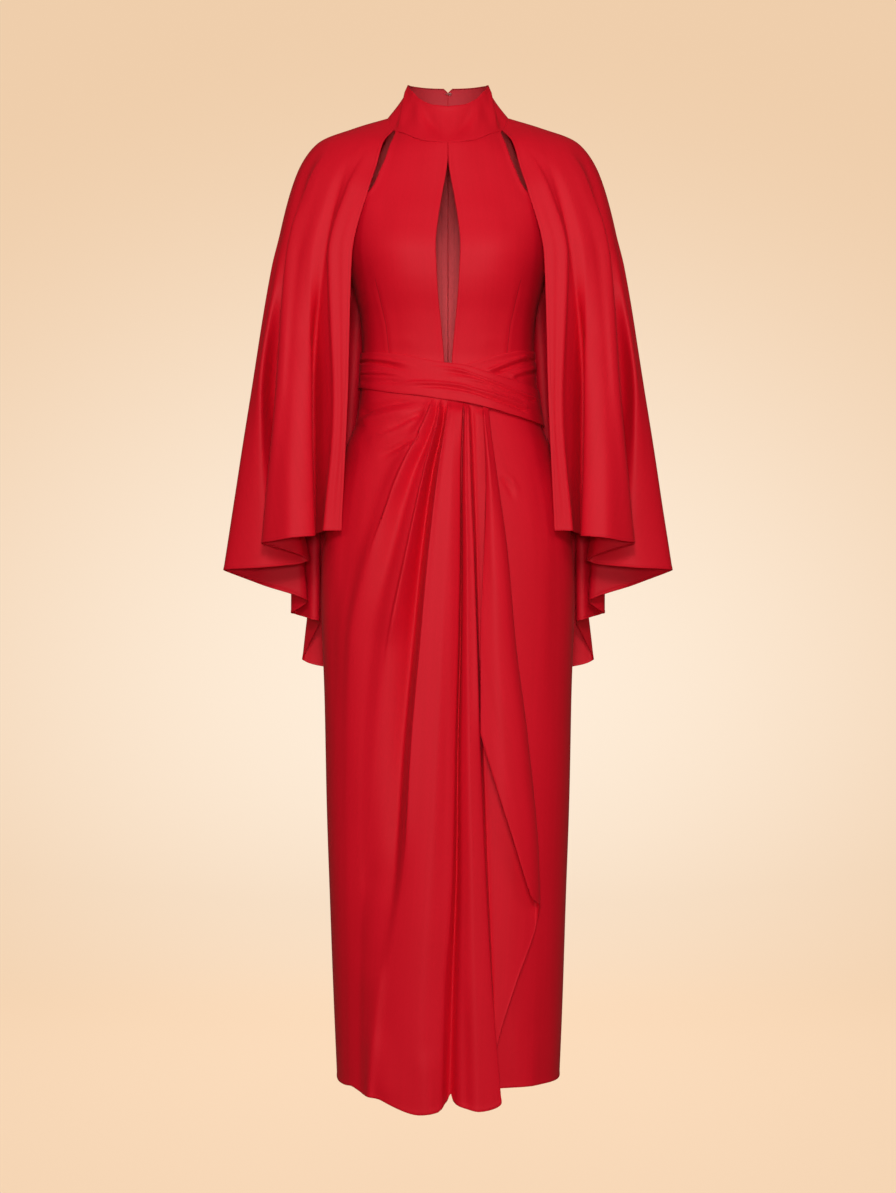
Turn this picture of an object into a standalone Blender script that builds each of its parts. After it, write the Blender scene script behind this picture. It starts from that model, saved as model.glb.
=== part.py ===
"""Cape sleeve gown, filled out as if worn.

A full-length wrap gown: stand collar, halter bodice with a long keyhole, draped waist wrap, a skirt
front gathered into pleats with a waterfall fold, and two half-circle cape sleeves hung from the collar.

Metres, +Z up. The origin is between the high points of the shoulders, the front faces -Y, and
"left" in a name is the -X side. The tables are in millimetres; a drop is a depth below the origin.
"""

import math

import bmesh
import bpy
import numpy as np

MM = 0.001

# Cloth and seams
CREPE = 1.4  # wall of the gown's cloth
CAPE_CREPE = 1.2
COLLAR_WALL = 2.2  # two layers with interfacing
SEAM = 0.3  # gap between two pieces at a seam
SIDE_SWING = 0.4  # how far the inner face of a side seam's edge swings towards the seam
LAYER = 1.0  # room between two curved pieces that lie on each other

# Body form, half a turn of it on each side: rings of a rounded oval
OVAL = {"front": 2.5, "back": 2.2}  # exponents of the oval, 2 is an ellipse
FORM_COLUMNS = ("drop", "half_width", "front", "back")
FORM_RINGS = (
    (-5, 84, 55, 52),
    (15, 86, 62, 60),
    (30, 104, 69, 69),
    (45, 125, 75, 77),
    (66, 150, 81, 87),
    (112, 165, 94, 97),
    (150, 157, 106, 101),
    (205, 142, 118, 98),
    (231, 134, 117, 94),
    (250, 130, 114, 90),
    (288, 123, 103, 82),
    (326, 121, 95, 76),
    (348, 122, 92, 75),
    (385, 124, 97, 82),
    (432, 131, 107, 99),
    (463, 143, 111, 108),
    (482, 148, 112, 113),
    (530, 163, 115, 122),
    (585, 174, 117, 125),
    (630, 178.5, 118, 124),
    (682, 179, 118, 120),
    (824, 175, 117, 112),
    (966, 172, 116, 106),
    (1108, 167, 115, 102),
    (1250, 162, 113, 98),
    (1390, 156, 112, 95),
)
BUST = {"across": 76, "drop": 198, "lift": 9, "wide": 34, "tall": 44}

# Neck ring, where the collar is sewn on; angles run from centre front to centre back
NECK = {"half_width": 84, "front": 75, "back": 52}
NECK_COLUMNS = ("angle", "base_drop", "top_drop")
NECK_RING = (
    (0, 45, -8.7),
    (22, 42, -11.7),
    (46, 29, -23),
    (62, 21.5, -36),
    (90, -1.8, -49),
    (135, -5.5, -54),
    (180, -5, -55),
)
COLLAR_TOP = {"half_width": 56, "front": 55, "back": 55}
COLLAR_WAIST = 2.5  # how far the collar pulls in halfway up
COLLAR_PROUD = {"front": 0.4, "cape": 1.7}  # its face over the neck ring
NOTCH = {"half_width": 6.5, "deep": 6}
SLOT_ANGLE = 62  # where halter edge and cape edge part

# Bodice
BODICE_BOTTOM = 366
UNDERARM = 200
KEYHOLE_COLUMNS = ("drop", "half_width")
KEYHOLE = (
    (30, 0.3),
    (69, 0.3),
    (126, 9),
    (153, 13),
    (192, 16.6),
    (222, 15.6),
    (258, 13.6),
    (310, 8.6),
    (354, 5),
    (380, 4),
)
HALTER_COLUMNS = ("drop", "front_edge", "back_edge")
HALTER = (
    (-5, 70, 84),
    (15, 72, 85),
    (27, 73.8, 91),
    (45, 80.5, 101),
    (66, 87, 112),
    (83, 94, 119),
    (103, 102, 127.5),
    (112, 108, 131),
    (125, 119, 135.5),
    (140, 130, 140),
    (160, 137, 143),
    (180, 140, 144),
    (200, 142.6, 143),
)

# Waist wrap: the upper and lower edges of its two bands, from the left seam to the right one
OVER_COLUMNS = ("across", "top", "bottom", "stands_off")
OVER_BAND = (
    (-124, 333.5, 383, 1.0),
    (-101, 336, 389, 1.0),
    (-75, 339.5, 394.5, 1.2),
    (-40, 347, 399, 2.2),
    (-10, 352.5, 404, 3.4),
    (21.5, 356.6, 409, 6.4),
    (52, 366, 416.6, 7.6),
    (87, 376, 427, 4.6),
    (124, 385.5, 437.5, 3.3),
)
UNDER_COLUMNS = ("across", "top")
UNDER_BAND = (
    (4, 363.5),
    (21.5, 357),
    (48, 348.7),
    (80, 339),
    (105, 333.4),
    (124, 332),
)
BAND_TUCK = 12  # how far bodice and skirt reach under a band
BAND_FOLDS = {"count": 3, "lift": 1.6}
BACK_BAND = {"top": 334, "bottom": 383.5, "side_bottom": 437, "stands_off": 1.8}

# Skirt
SKIRT_HEM = {"back": 1357, "under": 1355}
UNDER_PANEL_START = 8  # how near the centre the right panel reaches under the overlay

# Overlay: lines along its folds, left to right, then back along the waterfall's upper layer.
# "across" is x and "lift" stands the cloth off the form, each at these drops.
FOLD_DROPS = (400, 430, 510, 620, 740, 880, 1050, 1210, 1386)
OVERLAY_COLUMNS = ("line", "hem", "tuck_lift", "steps", "across", "lift")
OVERLAY_LINES = (
    ("valley_1", 1359, 0.6, 7,
     (-30, -44, -92, -128, -148, -152, -150, -147, -143), (1, 3, 2, 1, 0, 0, 0, 0, 0)),
    ("pleat_1", 1358, 1.9, 2,
     (-19.5, -31, -69.5, -108, -134, -139, -139, -138, -135), (3, 9, 13, 10, 5, 2, 1, 1, 1)),
    ("valley_2", 1363, 1.9, 2,
     (-14, -18, -48, -79, -107, -119, -123, -124, -123), (2, 4, 4, 3, 2, 1, 1, 1, 1)),
    ("pleat_2", 1366, 1.9, 2,
     (-9.6, -14, -34.4, -58.3, -82.4, -99.7, -110, -115, -117), (4, 10, 15, 15, 11, 6, 3, 2, 2)),
    ("valley_3", 1367, 1.9, 2,
     (-4, -6, -22, -37, -49, -62, -78, -98, -112), (3, 4, 3, 1, -1, -2, -2, -1, 0)),
    ("pleat_3", 1369, 1.9, 3,
     (1.4, -2, -14.4, -27.4, -38.5, -50.6, -66.6, -87.1, -104.9), (4, 11, 19, 23, 25, 25, 22, 17, 9)),
    ("face_3", 1386, 1.9, 2,
     (12, 9, 2, -5, -11, -18, -27, -38, -46), (5, 12, 20, 25, 27, 27, 26, 23, 18)),
    ("groove", 1373, 1.9, 3,
     (22.6, 21, 18.5, 18.3, 16.8, 13.6, 11.7, 6, 1.4), (4, 7, 9, 11, 12, 12, 12, 10, 6)),
    ("face_4", 1382, 1.9, 3,
     (25, 25, 25, 27, 28, 30, 34, 38, 44), (5, 12, 19, 22, 23, 24, 25, 25, 22)),
    ("pleat_4", 1371, 1.9, 2,
     (28, 29, 31, 35.7, 39.8, 44.1, 51.6, 60.6, 74.7), (4, 10, 16, 18, 19, 20, 21, 21, 20)),
    ("valley_5", 1318, 1.9, 3,
     (35, 36, 38, 41, 44, 50, 56, 62, 66), (3, 5, 6, 6, 6, 6, 6, 6, 6)),
    ("lining_5", 1207, 1.9, 2,
     (44, 45, 51, 60, 67, 80, 90, 95, 96), (3, 5, 6, 7, 7, 8, 9, 9, 9)),
    ("turn_in", 1136, 1.9, 2,
     (50, 51, 59, 72, 82, 99, 117, 122, 122), (3, 5, 7, 8, 8, 9, 10, 10, 10)),
    ("turn", 1104, 3.4, 2,
     (54.1, 56, 66.1, 80.8, 91.5, 109.1, 124.1, 127, 127), (4, 10, 14, 17, 18, 20, 20, 20, 20)),
    ("turn_out", 1091, 4.9, 2,
     (50, 51, 60, 73, 83, 100, 114, 117, 117), (6, 14, 21, 26, 28, 30, 29, 29, 29)),
    ("upper_ridge", 990, 4.9, 3,
     (48, 50, 57, 63, 68, 77, 84, 84, 84), (6, 15, 23, 28, 31, 33, 32, 32, 32)),
    ("free_edge", 866, 4.9, 3,
     (46.5, 49, 52, 48.5, 44.5, 44.5, 44.5, 44.5, 44.5), (6, 13, 18, 21, 23, 24, 24, 24, 24)),
)
OVERLAY_ROWS = 21
GATHER_RISE = 26  # how soon the pleats stand up below the band

# Cape, one side. Rings of the smooth yoke: front edge, side and centre back
YOKE_COLUMNS = ("along", "front_x", "front_y", "front_drop", "side_x", "side_y", "side_drop",
                "back_y", "back_drop")
YOKE_RINGS = (
    (0.055, 90, -55, 41, 133, 2, 12.8, 76, 22),
    (0.12, 99.6, -70, 77, 183, 4, 32, 96, 62),
    (0.19, 110.3, -82, 112.5, 214, 4, 77, 109, 112),
    (0.33, 132.7, -95, 206, 245, 0, 204, 118, 205),
)
YOKE_FOLD_SHARE = 0.45  # how much of the folds at the chest already shows at the shoulder
ELBOW = {"along": 0.6, "drop": 400}
CAPE_COLUMNS = ("fold", "share", "chest_lift", "elbow_x", "elbow_y", "hem_x", "hem_y", "hem_drop")
CAPE_FOLDS = (
    ("edge", 0.0, 0, 138.5, -97, 147.4, -90, 586),
    ("strip", 0.085, 1, 156.5, -95, 171, -88, 586),
    ("valley_1", 0.115, -9, 168, -62, 175, -42, 587),
    ("floor_1", 0.145, -11, 182, -56, 185, -33, 590),
    ("rise_1", 0.18, -7, 195, -76, 188, -88, 593),
    ("face_1", 0.225, 0, 216, -88, 217, -100, 596),
    ("turn_1", 0.255, 3, 229, -84, 240.5, -85, 600),
    ("ridge_1", 0.285, 4, 238, -72, 258, -62, 603),
    ("valley_2", 0.325, -8, 235, -44, 205, -34, 621),
    ("floor_2", 0.35, -8, 236, -28, 202, -15, 628),
    ("face_2", 0.41, 0, 257, -28, 258, -28, 636),
    ("ridge_2", 0.49, 2, 277, -1, 317, 0, 640),
    ("rear_2", 0.545, 0, 262, 30, 268, 32, 660),
    ("valley_3", 0.60, -6, 226, 48, 207, 48, 684),
    ("ridge_3", 0.64, 2, 224, 70, 225, 78, 701),
    ("back_3", 0.67, 1, 216, 84, 222, 93, 703),
    ("valley_4", 0.70, -5, 196, 88, 195, 70, 711),
    ("floor_4", 0.725, -5, 186, 92, 191, 82, 718),
    ("ridge_4", 0.775, 3, 168, 118, 211, 122, 770),
    ("valley_5", 0.825, -4, 142, 113, 165, 126, 782),
    ("ridge_5", 0.875, 3, 114, 134, 130, 158, 784),
    ("valley_6", 0.93, -3, 72, 124, 78, 132, 788),
    ("centre_back", 1.0, 0, 0.2, 128, 0.2, 142, 790),
)
CAPE_ROWS = 17
NARROW_FOLD = 0.033  # a share between two fold lines that takes no line halfway

# Zip down the centre back, closed, with its slider at the collar
ZIP = {"top": -29, "bottom": 580, "tape": 20, "wall": 1.0, "inside": 0.8}
SLIDER = {"drop": -22, "wide": 5, "tall": 9, "deep": 2.2, "clear": 0.6}
BRIDGE = {"wide": 2.2, "tall": 6.4, "deep": 2.2, "bar": 0.8}
TAB = {"wide": 5.6, "tall": 15, "wall": 0.9, "bar": 1.0, "window_wide": 3.2, "window_tall": 3.6}
HOOK_WIRE = 0.45  # radius
EYE = {"ring": 1.6, "across": 2.4, "open": 35, "foot": 5.6, "stands_off": 1.5, "seat_gap": 0.35}
HOOK_SEAT = 0.3  # how much nearer the collar the hook's foot lies than the eye's

RED = (0.62, 0.02, 0.035)
DEEP_RED = (0.58, 0.02, 0.035)
STEEL = (0.62, 0.6, 0.6)


def smooth(knots, values, at):
    """The value at `at` of a smooth curve through the knots, which doesn't overshoot them."""
    knots = np.asarray(knots, float)
    values = np.asarray(values, float)
    spans = np.diff(knots)
    rises = np.diff(values) / spans
    slopes = np.concatenate(([rises[0]], np.zeros(len(values) - 2), [rises[-1]]))
    for i in range(1, len(values) - 1):
        before, after = rises[i - 1], rises[i]
        if before * after > 0:
            slopes[i] = 2 * before * after / (before + after)
    i = int(np.clip(np.searchsorted(knots, at) - 1, 0, len(spans) - 1))
    t = float(np.clip((at - knots[i]) / spans[i], 0, 1))
    start = (1 + 2 * t) * (1 - t) ** 2 * values[i] + t * (1 - t) ** 2 * spans[i] * slopes[i]
    end = t * t * (3 - 2 * t) * values[i + 1] - t * t * (1 - t) * spans[i] * slopes[i + 1]
    return start + end


def column(rows, names, name):
    """One named column of a table."""
    return [row[names.index(name)] for row in rows]


def read(rows, names, key, name, at):
    """A named column of a table, read smoothly at a value of its key column."""
    return smooth(column(rows, names, key), column(rows, names, name), at)


def ease(t):
    """0 to 1 with soft ends."""
    t = min(max(t, 0.0), 1.0)
    return t * t * (3 - 2 * t)


def mix(a, b, t):
    return a + (b - a) * t


def steps(count):
    return [i / count for i in range(count + 1)]


# Form


def form_angle(across, drop, half="front"):
    """The angle from centre front, or centre back, at which the form's ring is `across` wide."""
    half_width = read(FORM_RINGS, FORM_COLUMNS, "drop", "half_width", drop)
    share = min(abs(across) / half_width, 1.0) ** (OVAL[half] / 2)
    return math.copysign(math.degrees(math.asin(share)), across)


def form_point(angle, drop, out=0.0):
    """A point on the form: angle from centre front, towards +X, and `out` stands it off."""
    half_width = read(FORM_RINGS, FORM_COLUMNS, "drop", "half_width", drop)
    sine = math.sin(math.radians(angle))
    cosine = math.cos(math.radians(angle))
    half = "front" if cosine > 0 else "back"
    depth = read(FORM_RINGS, FORM_COLUMNS, "drop", half, drop)
    power = 2 / OVAL[half]
    x = half_width * math.copysign(abs(sine) ** power, sine)
    y = -depth * math.copysign(abs(cosine) ** power, cosine)
    normal_x = math.copysign(abs(sine) ** (2 - power), sine) / half_width
    normal_y = -math.copysign(abs(cosine) ** (2 - power), cosine) / depth
    length = math.hypot(normal_x, normal_y)
    if cosine > 0:
        aside = (abs(x) - BUST["across"]) / BUST["wide"]
        below = (drop - BUST["drop"]) / BUST["tall"]
        out += BUST["lift"] * math.exp(-(aside**2 + below**2) / 2)
    return np.array((x + out * normal_x / length, y + out * normal_y / length, -drop))


def neck_drop(angle, name="base_drop"):
    return read(NECK_RING, NECK_COLUMNS, "angle", name, abs(angle))


def neck_point(angle, out=0.0, ring=NECK, name="base_drop"):
    """A point on the neck seam, or on the collar's upper edge with that ring and column."""
    sine = math.sin(math.radians(angle))
    cosine = math.cos(math.radians(angle))
    depth = ring["front"] if cosine > 0 else ring["back"]
    x = (ring["half_width"] + out) * sine
    y = -(depth + out) * cosine
    return np.array((x, y, -neck_drop(angle, name)))


# Panels, each as rows of points from top to bottom, its columns running towards +X at the front


def mirrored(rows):
    """The same panel on the -X side, its columns turned round so that its face stays outside."""
    return [[point * (-1, 1, 1) for point in reversed(row)] for row in rows]


def collar_rows():
    near_notch = (170, 173.3, 176.8, 179.8)
    half = [i * 10.0 for i in range(17)] + list(near_notch)
    angles = [-angle for angle in reversed(half[1:])] + half
    rows = []
    for up in (1.0, 0.72, 0.45, 0.2, 0.0):
        row = []
        for angle in angles:
            cape_share = ease((abs(angle) - 50) / 12)
            out = mix(COLLAR_PROUD["front"], COLLAR_PROUD["cape"], cape_share)
            base = neck_point(angle, out)
            top = neck_point(angle, out, COLLAR_TOP, "top_drop")
            if abs(angle) > 150:
                top[2] -= NOTCH["deep"] * max(0.0, 1 - abs(top[0]) / NOTCH["half_width"])
            lean = math.atan2(np.hypot(*base[:2]) - np.hypot(*top[:2]), top[2] - base[2])
            base[2] += COLLAR_WALL * max(0.0, math.sin(lean)) + SEAM  # its inner face hangs lower
            point = mix(base, top, up)
            point[:2] *= 1 - COLLAR_WAIST * math.sin(math.pi * up) / np.hypot(*point[:2])
            row.append(point)
        rows.append(row)
    return rows


def bodice_rows(inner_angle, outer_angle, first, last, across, down):
    """A panel from the neck seam to the waist; the two functions give its side edges at a drop."""
    rows = [[] for _ in steps(down)]
    for share in steps(across):
        neck = neck_point(mix(first, last, share))
        top = -neck[2] + SEAM
        for row, along in zip(rows, steps(down)):
            drop = mix(top, BODICE_BOTTOM, along)
            angle = mix(inner_angle(drop), outer_angle(drop), share)
            row.append(form_point(angle, drop))
        shift = (neck - rows[0][-1]) * (1, 1, 0)
        for row, along in zip(rows, steps(down)):
            row[-1] = row[-1] + shift * (1 - along) ** 4
    return rows


def bodice_front_rows():
    def centre(drop):
        return form_angle(read(KEYHOLE, KEYHOLE_COLUMNS, "drop", "half_width", drop), drop)

    def side(drop):
        if drop >= UNDERARM:
            return side_seam(drop)
        edge = read(HALTER, HALTER_COLUMNS, "drop", "front_edge", drop)
        return min(form_angle(edge, drop), side_seam(drop))

    return bodice_rows(centre, side, 0.25, SLOT_ANGLE - 0.4, 9, 15)


def bodice_back_rows():
    def side(drop):
        if drop >= UNDERARM:
            return 180 - side_seam(drop)
        edge = read(HALTER, HALTER_COLUMNS, "drop", "back_edge", drop)
        return 180 - min(form_angle(edge, drop, "back"), side_seam(drop))

    def centre(drop):
        return 180 - form_angle(SEAM / 2, drop, "back")

    return bodice_rows(side, centre, 90.0, 179.8, 8, 14)


def side_seam(drop):
    """The angle just short of the side seam, by half its gap."""
    depth = read(FORM_RINGS, FORM_COLUMNS, "drop", "front", drop)
    return 90 - math.degrees(((SEAM / 2 + SIDE_SWING) / depth) ** (OVAL["front"] / 2))


def band_edge(across, name):
    return read(OVER_BAND, OVER_COLUMNS, "across", name, across)


def over_band_rows():
    rows = []
    for down in steps(8):
        row = []
        for share in steps(26):
            angle = mix(-1, 1, share) * side_seam(360)
            across = form_point(angle, 360)[0]
            drop = mix(band_edge(across, "top"), band_edge(across, "bottom"), down)
            off = band_edge(across, "stands_off") + CREPE
            fold = abs(math.sin(math.pi * BAND_FOLDS["count"] * down)) * ease(6 * down) * ease(6 - 6 * down)
            row.append(form_point(angle, drop, off + BAND_FOLDS["lift"] * fold))
        rows.append(row)
    return rows


def under_band_rows():
    rows = []
    first = form_angle(UNDER_BAND[0][0], 360)
    for down in steps(5):
        row = []
        for share in steps(12):
            angle = mix(first, side_seam(360), share)
            across = form_point(angle, 360)[0]
            top = read(UNDER_BAND, UNDER_COLUMNS, "across", "top", across)
            drop = mix(top, band_edge(across, "top") + BAND_TUCK, down)
            row.append(form_point(angle, drop, LAYER + CREPE))
        rows.append(row)
    return rows


def back_band_rows(side_bottom):
    rows = []
    for down in steps(4):
        row = []
        for share in steps(11):
            angle = mix(180 - side_seam(360), 180 - form_angle(SEAM / 2, 360, "back"), share)
            bottom = mix(side_bottom, BACK_BAND["bottom"], ease(1.4 * share))
            drop = mix(BACK_BAND["top"], bottom, down)
            row.append(form_point(angle, drop, BACK_BAND["stands_off"] + CREPE))
        rows.append(row)
    return rows


def skirt_back_rows(side_top):
    rows = []
    for down in steps(14):
        row = []
        for share in steps(11):
            top = mix(side_top, BACK_BAND["bottom"], ease(1.4 * share)) - BAND_TUCK
            drop = mix(top, SKIRT_HEM["back"], down**1.25)
            angle = mix(180 - side_seam(drop), 180 - form_angle(SEAM / 2, drop, "back"), share)
            row.append(form_point(angle, drop))
        rows.append(row)
    return rows


def under_panel_rows():
    rows = []
    for down in steps(14):
        row = []
        for share in steps(11):
            across = mix(UNDER_PANEL_START, OVER_BAND[-1][0], share)
            top = band_edge(across, "bottom") - BAND_TUCK
            drop = mix(top, SKIRT_HEM["under"], down**1.25)
            angle = mix(form_angle(UNDER_PANEL_START, drop), side_seam(drop), share)
            row.append(form_point(angle, drop))
        rows.append(row)
    return rows


def overlay_rows():
    """The pleated front: lines along its folds, with the cloth between them drawn smooth."""
    places = [0.0]
    shares = [0.0]
    for number, line in enumerate(OVERLAY_LINES, 1):
        for part in range(1, line[OVERLAY_COLUMNS.index("steps")] + 1):
            shares.append(number - 1 + part / line[OVERLAY_COLUMNS.index("steps")])
        places.append(float(number))
    starts = column(OVERLAY_LINES, OVERLAY_COLUMNS, "across")
    lifts = column(OVERLAY_LINES, OVERLAY_COLUMNS, "lift")
    bands = [band_edge(-OVER_BAND[-1][0], "bottom")]
    bands += [band_edge(across[0], "bottom") for across in starts]
    hems = [SKIRT_HEM["back"]] + column(OVERLAY_LINES, OVERLAY_COLUMNS, "hem")
    tucks = [0.0] + column(OVERLAY_LINES, OVERLAY_COLUMNS, "tuck_lift")
    rows = []
    for down in steps(OVERLAY_ROWS):
        row = []
        for share in shares:
            band = smooth(places, bands, share)
            drop = mix(band - BAND_TUCK, smooth(places, hems, share), down**1.45)
            angles = [-side_seam(drop)]
            angles += [form_angle(smooth(FOLD_DROPS, across, drop), drop) for across in starts]
            stand = [0.0] + [smooth(FOLD_DROPS, lift, drop) for lift in lifts]
            rise = ease((drop - band) / GATHER_RISE)
            lift = mix(smooth(places, tucks, share), smooth(places, stand, share), rise)
            row.append(form_point(smooth(places, angles, share), drop) - (0, lift, 0))
        rows.append(row)
    return rows


def yoke_point(ring, share, lift):
    """A point of a smooth ring of the cape, from its front edge by the side to centre back."""
    part = dict(zip(YOKE_COLUMNS, ring))
    turn = math.radians(90 * min(share / 0.5, 1.0))
    back = math.radians(90 * max(share / 0.5 - 1.0, 0.0))
    if share <= 0.5:
        x = mix(part["front_x"], part["side_x"], math.sin(turn))
        y = mix(part["side_y"], part["front_y"], math.cos(turn))
        drop = mix(part["front_drop"], part["side_drop"], ease(share / 0.5))
    else:
        x = part["side_x"] * math.cos(back) + SEAM / 2
        y = mix(part["side_y"], part["back_y"], math.sin(back))
        drop = mix(part["side_drop"], part["back_drop"], ease(share / 0.5 - 1))
    out = np.array((x - 60, y))
    out /= np.hypot(*out)
    return np.array((x + lift * out[0], y + lift * out[1], -drop))


def cape_rows():
    shares = column(CAPE_FOLDS, CAPE_COLUMNS, "share")
    table = {name: column(CAPE_FOLDS, CAPE_COLUMNS, name) for name in CAPE_COLUMNS[2:]}
    levels = [0.0] + column(YOKE_RINGS, YOKE_COLUMNS, "along") + [ELBOW["along"], 1.0]
    columns = []
    fine = []
    for start, end in zip(shares, shares[1:]):
        fine += [start] if end - start < NARROW_FOLD else [start, mix(start, end, 0.5)]
    for share in fine + [1.0]:
        at = {name: smooth(shares, values, share) for name, values in table.items()}
        if share <= 0.5:
            neck_angle = mix(SLOT_ANGLE + 0.6, 90, share / 0.5)
        else:
            neck_angle = mix(90, 179.8, share / 0.5 - 1)
        points = [neck_point(neck_angle, COLLAR_PROUD["cape"]) - (0, 0, SEAM)]
        for number, ring in enumerate(YOKE_RINGS):
            grown = (0, 0, YOKE_FOLD_SHARE, 1)[number]
            points.append(yoke_point(ring, share, grown * at["chest_lift"]))
        points.append(np.array((at["elbow_x"], at["elbow_y"], -ELBOW["drop"])))
        points.append(np.array((at["hem_x"], at["hem_y"], -at["hem_drop"])))
        columns.append(points)
    rows = []
    for down in steps(CAPE_ROWS):
        along = mix(down, down**1.5, 0.7)
        rows.append([
            np.array([smooth(levels, [point[axis] for point in points], along) for axis in range(3)])
            for points in columns
        ])
    return rows


def collar_back_face(drop):
    """How far back the collar's outer face is at centre back."""
    up = (NECK_RING[-1][1] - drop) / (NECK_RING[-1][1] - NECK_RING[-1][2])
    face = mix(NECK["back"], COLLAR_TOP["back"], up) + COLLAR_PROUD["cape"]
    return face - COLLAR_WAIST * math.sin(math.pi * up)


def zip_rows():
    """The tape inside the centre back: the panels' own centre points, moved in."""
    centre = [row[-1] for row in bodice_back_rows()]
    centre += [row[-1] for row in skirt_back_rows(BACK_BAND["bottom"]) if -row[-1][2] < ZIP["bottom"]]
    backs = [(ZIP["top"], collar_back_face(ZIP["top"]) - COLLAR_WALL)]
    backs.append((ZIP["top"] + 12, collar_back_face(ZIP["top"] + 12) - COLLAR_WALL))
    backs += [(-point[2], point[1] - CREPE) for point in centre]
    half = ZIP["tape"] / 2
    rows = []
    for drop, back in backs:
        width = read(FORM_RINGS, FORM_COLUMNS, "drop", "half_width", max(drop, FORM_RINGS[0][0]))
        row = []
        for across in (half, 0.3 * half, -0.3 * half, -half):
            curve = back * (1 - math.sqrt(1 - (across / width) ** 2))
            row.append(np.array((across, back - ZIP["inside"] - curve, -drop)))
        rows.append(row)
    return rows


# Objects


def material(name, colour, roughness, metallic=0.0):
    made = bpy.data.materials.new(name)
    made.use_nodes = True
    shader = made.node_tree.nodes["Principled BSDF"]
    shader.inputs["Base Color"].default_value = (*colour, 1.0)
    shader.inputs["Roughness"].default_value = roughness
    shader.inputs["Metallic"].default_value = metallic
    made.diffuse_color = (*colour, 1.0)
    return made


def add_object(name, mesh, collection, finish):
    obj = bpy.data.objects.new(name, mesh)
    collection.objects.link(obj)
    mesh.materials.append(finish)
    return obj


def cloth(name, rows, wall, collection, finish, even=True):
    """An open surface through rows of points, its wall grown inwards by Solidify."""
    mesh = bpy.data.meshes.new(name)
    shape = bmesh.new()
    grid = [[shape.verts.new(point * MM) for point in row] for row in rows]
    for upper, lower in zip(grid, grid[1:]):
        for i in range(len(upper) - 1):
            shape.faces.new((upper[i], lower[i], lower[i + 1], upper[i + 1]))
    shape.to_mesh(mesh)
    shape.free()
    mesh.shade_smooth()
    obj = add_object(name, mesh, collection, finish)
    thick = obj.modifiers.new("Wall", "SOLIDIFY")
    thick.thickness = wall * MM
    thick.offset = -1
    thick.use_even_offset = even  # off where the cloth turns back on itself
    return obj


def box(name, size, place, collection, finish):
    """A box of this size in millimetres, with its centre at a place."""
    mesh = bpy.data.meshes.new(name)
    shape = bmesh.new()
    bmesh.ops.create_cube(shape, size=1.0)
    bmesh.ops.scale(shape, vec=[side * MM for side in size], verts=shape.verts)
    shape.to_mesh(mesh)
    shape.free()
    obj = add_object(name, mesh, collection, finish)
    obj.location = [value * MM for value in place]
    return obj


def cut(obj, size, place, cutters):
    """Cuts a box out of an object."""
    cutter = box(obj.name + "_window", size, place, cutters, obj.data.materials[0])
    cutter.hide_render = True
    cutter.display_type = "WIRE"
    window = obj.modifiers.new("Window", "BOOLEAN")
    window.operation = "DIFFERENCE"
    window.object = cutter
    window.solver = "EXACT"


def join(obj, size, place, cutters):
    """Adds a box to an object."""
    extra = box(obj.name + "_bridge", size, place, cutters, obj.data.materials[0])
    extra.hide_render = True
    extra.display_type = "WIRE"
    union = obj.modifiers.new("Bridge", "BOOLEAN")
    union.operation = "UNION"
    union.object = extra
    union.solver = "EXACT"


def round_off(obj, radius):
    bevel = obj.modifiers.new("Rounding", "BEVEL")
    bevel.width = radius * MM
    bevel.segments = 2
    bevel.limit_method = "ANGLE"


def slider(collection, cutters, finish):
    """The zip's slider on the collar's outer face, with the bridge that the tab hangs on."""
    foot = collar_back_face(SLIDER["drop"]) + SLIDER["clear"]
    centre = (0, foot + SLIDER["deep"] / 2, -SLIDER["drop"])
    obj = box("zip_slider", (SLIDER["wide"], SLIDER["deep"], SLIDER["tall"]), centre, collection, finish)
    round_off(obj, 0.5)
    bridge = (0, foot + SLIDER["deep"] + BRIDGE["deep"] / 2 - 0.2, -SLIDER["drop"])
    join(obj, (BRIDGE["wide"], BRIDGE["deep"] + 0.4, BRIDGE["tall"]), bridge, cutters)
    gap = BRIDGE["deep"] - BRIDGE["bar"]
    window = (0, foot + SLIDER["deep"] + gap / 2, -SLIDER["drop"])
    cut(obj, (2 * BRIDGE["wide"], gap, BRIDGE["tall"] - 2 * BRIDGE["bar"]), window, cutters)
    return window


def tab(axis, collection, cutters, finish):
    """The pull tab, hung from its crossbar in the slider's bridge; the object's origin is on that axis."""
    obj = box("zip_pull", (TAB["wide"], TAB["wall"], TAB["tall"]), axis, collection, finish)
    lower = TAB["bar"] / 2 - TAB["tall"] / 2
    for vertex in obj.data.vertices:
        vertex.co.z += lower * MM
    window = (0, axis[1], axis[2] - TAB["bar"] / 2 - TAB["window_tall"] / 2)
    cut(obj, (TAB["window_wide"], 4 * TAB["wall"], TAB["window_tall"]), window, cutters)
    return obj


def wire(name, points, collection, finish):
    """A bent wire through points in millimetres."""
    curve = bpy.data.curves.new(name, "CURVE")
    curve.dimensions = "3D"
    curve.bevel_depth = HOOK_WIRE * MM
    curve.bevel_resolution = 2
    curve.use_fill_caps = True
    spline = curve.splines.new("POLY")
    spline.points.add(len(points) - 1)
    for knot, point in zip(spline.points, points):
        knot.co = (*[value * MM for value in point], 1.0)
    return add_object(name, curve, collection, finish)


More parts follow.
